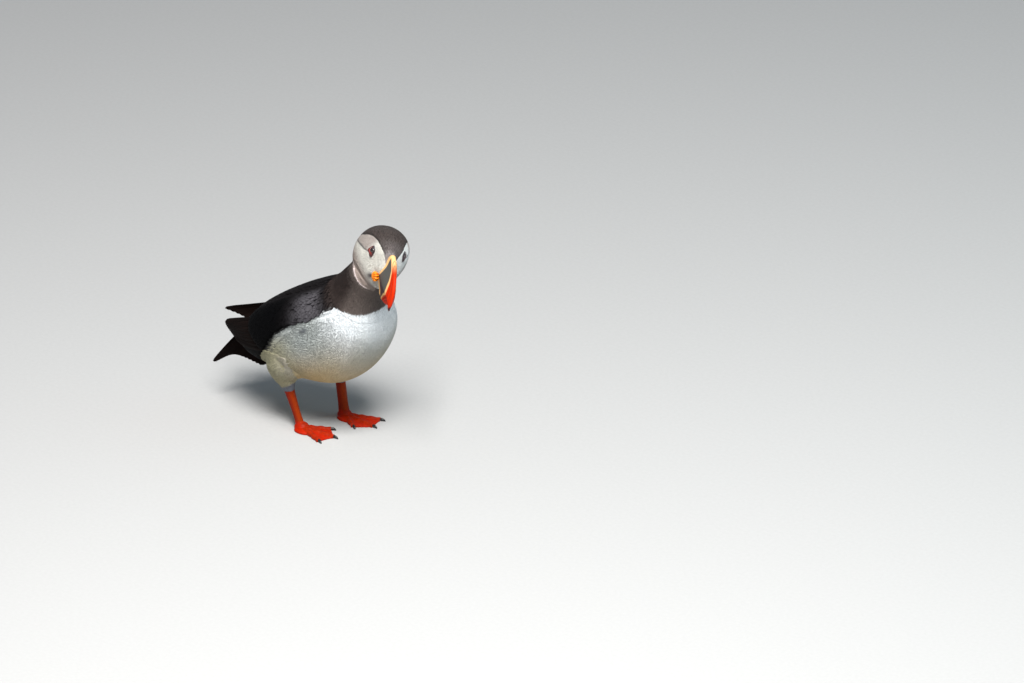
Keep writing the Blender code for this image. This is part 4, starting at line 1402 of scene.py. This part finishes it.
def make_claws(side, sign):
    """Claws that bend down from the toes until their tips are at the floor."""
    k, turn = np.linspace(0, 1, 20)[:, None], -full_turn(16)
    radius = CLAW_RADIUS * np.sqrt(np.clip(1.02 - k**1.6, 0.01, 1))
    for name, heading, length, joints in toe_headings(side, sign):
        forward = length - 0.5 * MM + (CLAW_LENGTH + 0.8 * MM) * np.sin(k * 1.2) / np.sin(1.2)
        rise = CLAW_RADIUS + 0.15 * MM + 1.3 * MM * k * (1 - k) - (CLAW_RADIUS - 0.1 * MM) * k**2
        x, y = ahead_of(ANKLES[side], heading, forward, 0.85 * radius * np.cos(turn))
        z = np.maximum(rise + radius * np.sin(turn), 0.02 * MM)
        vertices, faces = tube_form(points(x, y, z)[:, ::-1])
        colour = np.broadcast_to(CLAW_BLACK, vertices.shape)
        piece = shell(f"nail_{side}_{name}", vertices, faces, CLAW, colour)
        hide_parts(f"claw_{side}_{name}")


for side, sign in SIDES:
    make_foot(side, sign)
    make_claws(side, sign)


# ---- Floor, light and camera -------------------------------------------------------------------------------

# How far round from the bird's right side the camera stands and how high, how far away, and where the middle
# of its view lies, right of and above the bird's origin.
VIEW_AZIMUTH, VIEW_ELEVATION = np.radians((40, 23))
VIEW_DISTANCE = 9.725
VIEW_CENTRE = (163.25 * MM, 68.8 * MM)
LENS = 400


def make_floor():
    """A plain grey floor, a little mottled."""
    mesh = bpy.data.meshes.new("floor")
    mesh.from_pydata([(-40, -40, 0), (40, -40, 0), (40, 40, 0), (-40, 40, 0)], [], [(0, 1, 2, 3)])
    made, tree, shader = nodes_of("plain_floor")
    pattern = grain(tree, "ShaderNodeTexNoise", 300.0)
    tree.links.new(spread(tree, pattern.outputs["Fac"], 0.38, 0.42), shader.inputs["Base Color"])
    shader.inputs["Roughness"].default_value = 0.9
    mesh.materials.append(made)
    linked("floor", mesh)


def aim(thing, target):
    """Turns a lamp or camera towards a point."""
    thing.rotation_euler = (Vector(target) - thing.location).to_track_quat("-Z", "Y").to_euler()


def away_from_bird(azimuth, elevation):
    """The direction that lies so far round from the bird's right side towards its front, and so far up."""
    level = np.cos(elevation)
    return Vector((np.sin(azimuth) * level, -np.cos(azimuth) * level, np.sin(elevation)))


def make_light(name, azimuth, elevation, distance, size, power, colour):
    """A square lamp aimed at the bird's middle, with its azimuth and elevation in degrees."""
    lamp = bpy.data.lights.new(name, "AREA")
    lamp.size = size
    lamp.energy = power
    lamp.color = colour
    thing = linked(name, lamp)
    middle = Vector((0, 0, 0.1))
    thing.location = away_from_bird(*np.radians((azimuth, elevation))) * distance + middle
    aim(thing, middle)


def make_camera():
    """A long lens at the bird's right front."""
    back = away_from_bird(VIEW_AZIMUTH, VIEW_ELEVATION)
    right = Vector((np.cos(VIEW_AZIMUTH), np.sin(VIEW_AZIMUTH), 0))
    up = back.cross(right)
    camera = bpy.data.cameras.new("camera")
    camera.lens = LENS
    camera.sensor_width = 36
    camera.clip_end = 100
    thing = linked("camera", camera)
    target = Vector((SHIFT[0], SHIFT[1], 0)) + right * VIEW_CENTRE[0] + up * VIEW_CENTRE[1]
    thing.location = target + back * VIEW_DISTANCE
    aim(thing, target)
    bpy.context.scene.camera = thing


def make_room():
    """Dim blueish light from all round."""
    world = bpy.data.worlds.new("room")
    world.use_nodes = True
    background = world.node_tree.nodes["Background"]
    background.inputs["Color"].default_value = (0.85, 0.9, 1.0, 1)
    background.inputs["Strength"].default_value = 0.26
    bpy.context.scene.world = world


make_floor()
make_light("key", azimuth=46, elevation=58, distance=2.2, size=1.0, power=112, colour=(1.0, 0.985, 0.955))
make_light("fill", azimuth=130, elevation=30, distance=2.5, size=1.8, power=8, colour=(0.35, 0.84, 1.0))
make_camera()
make_room()
bpy.context.scene.view_settings.view_transform = "Standard"
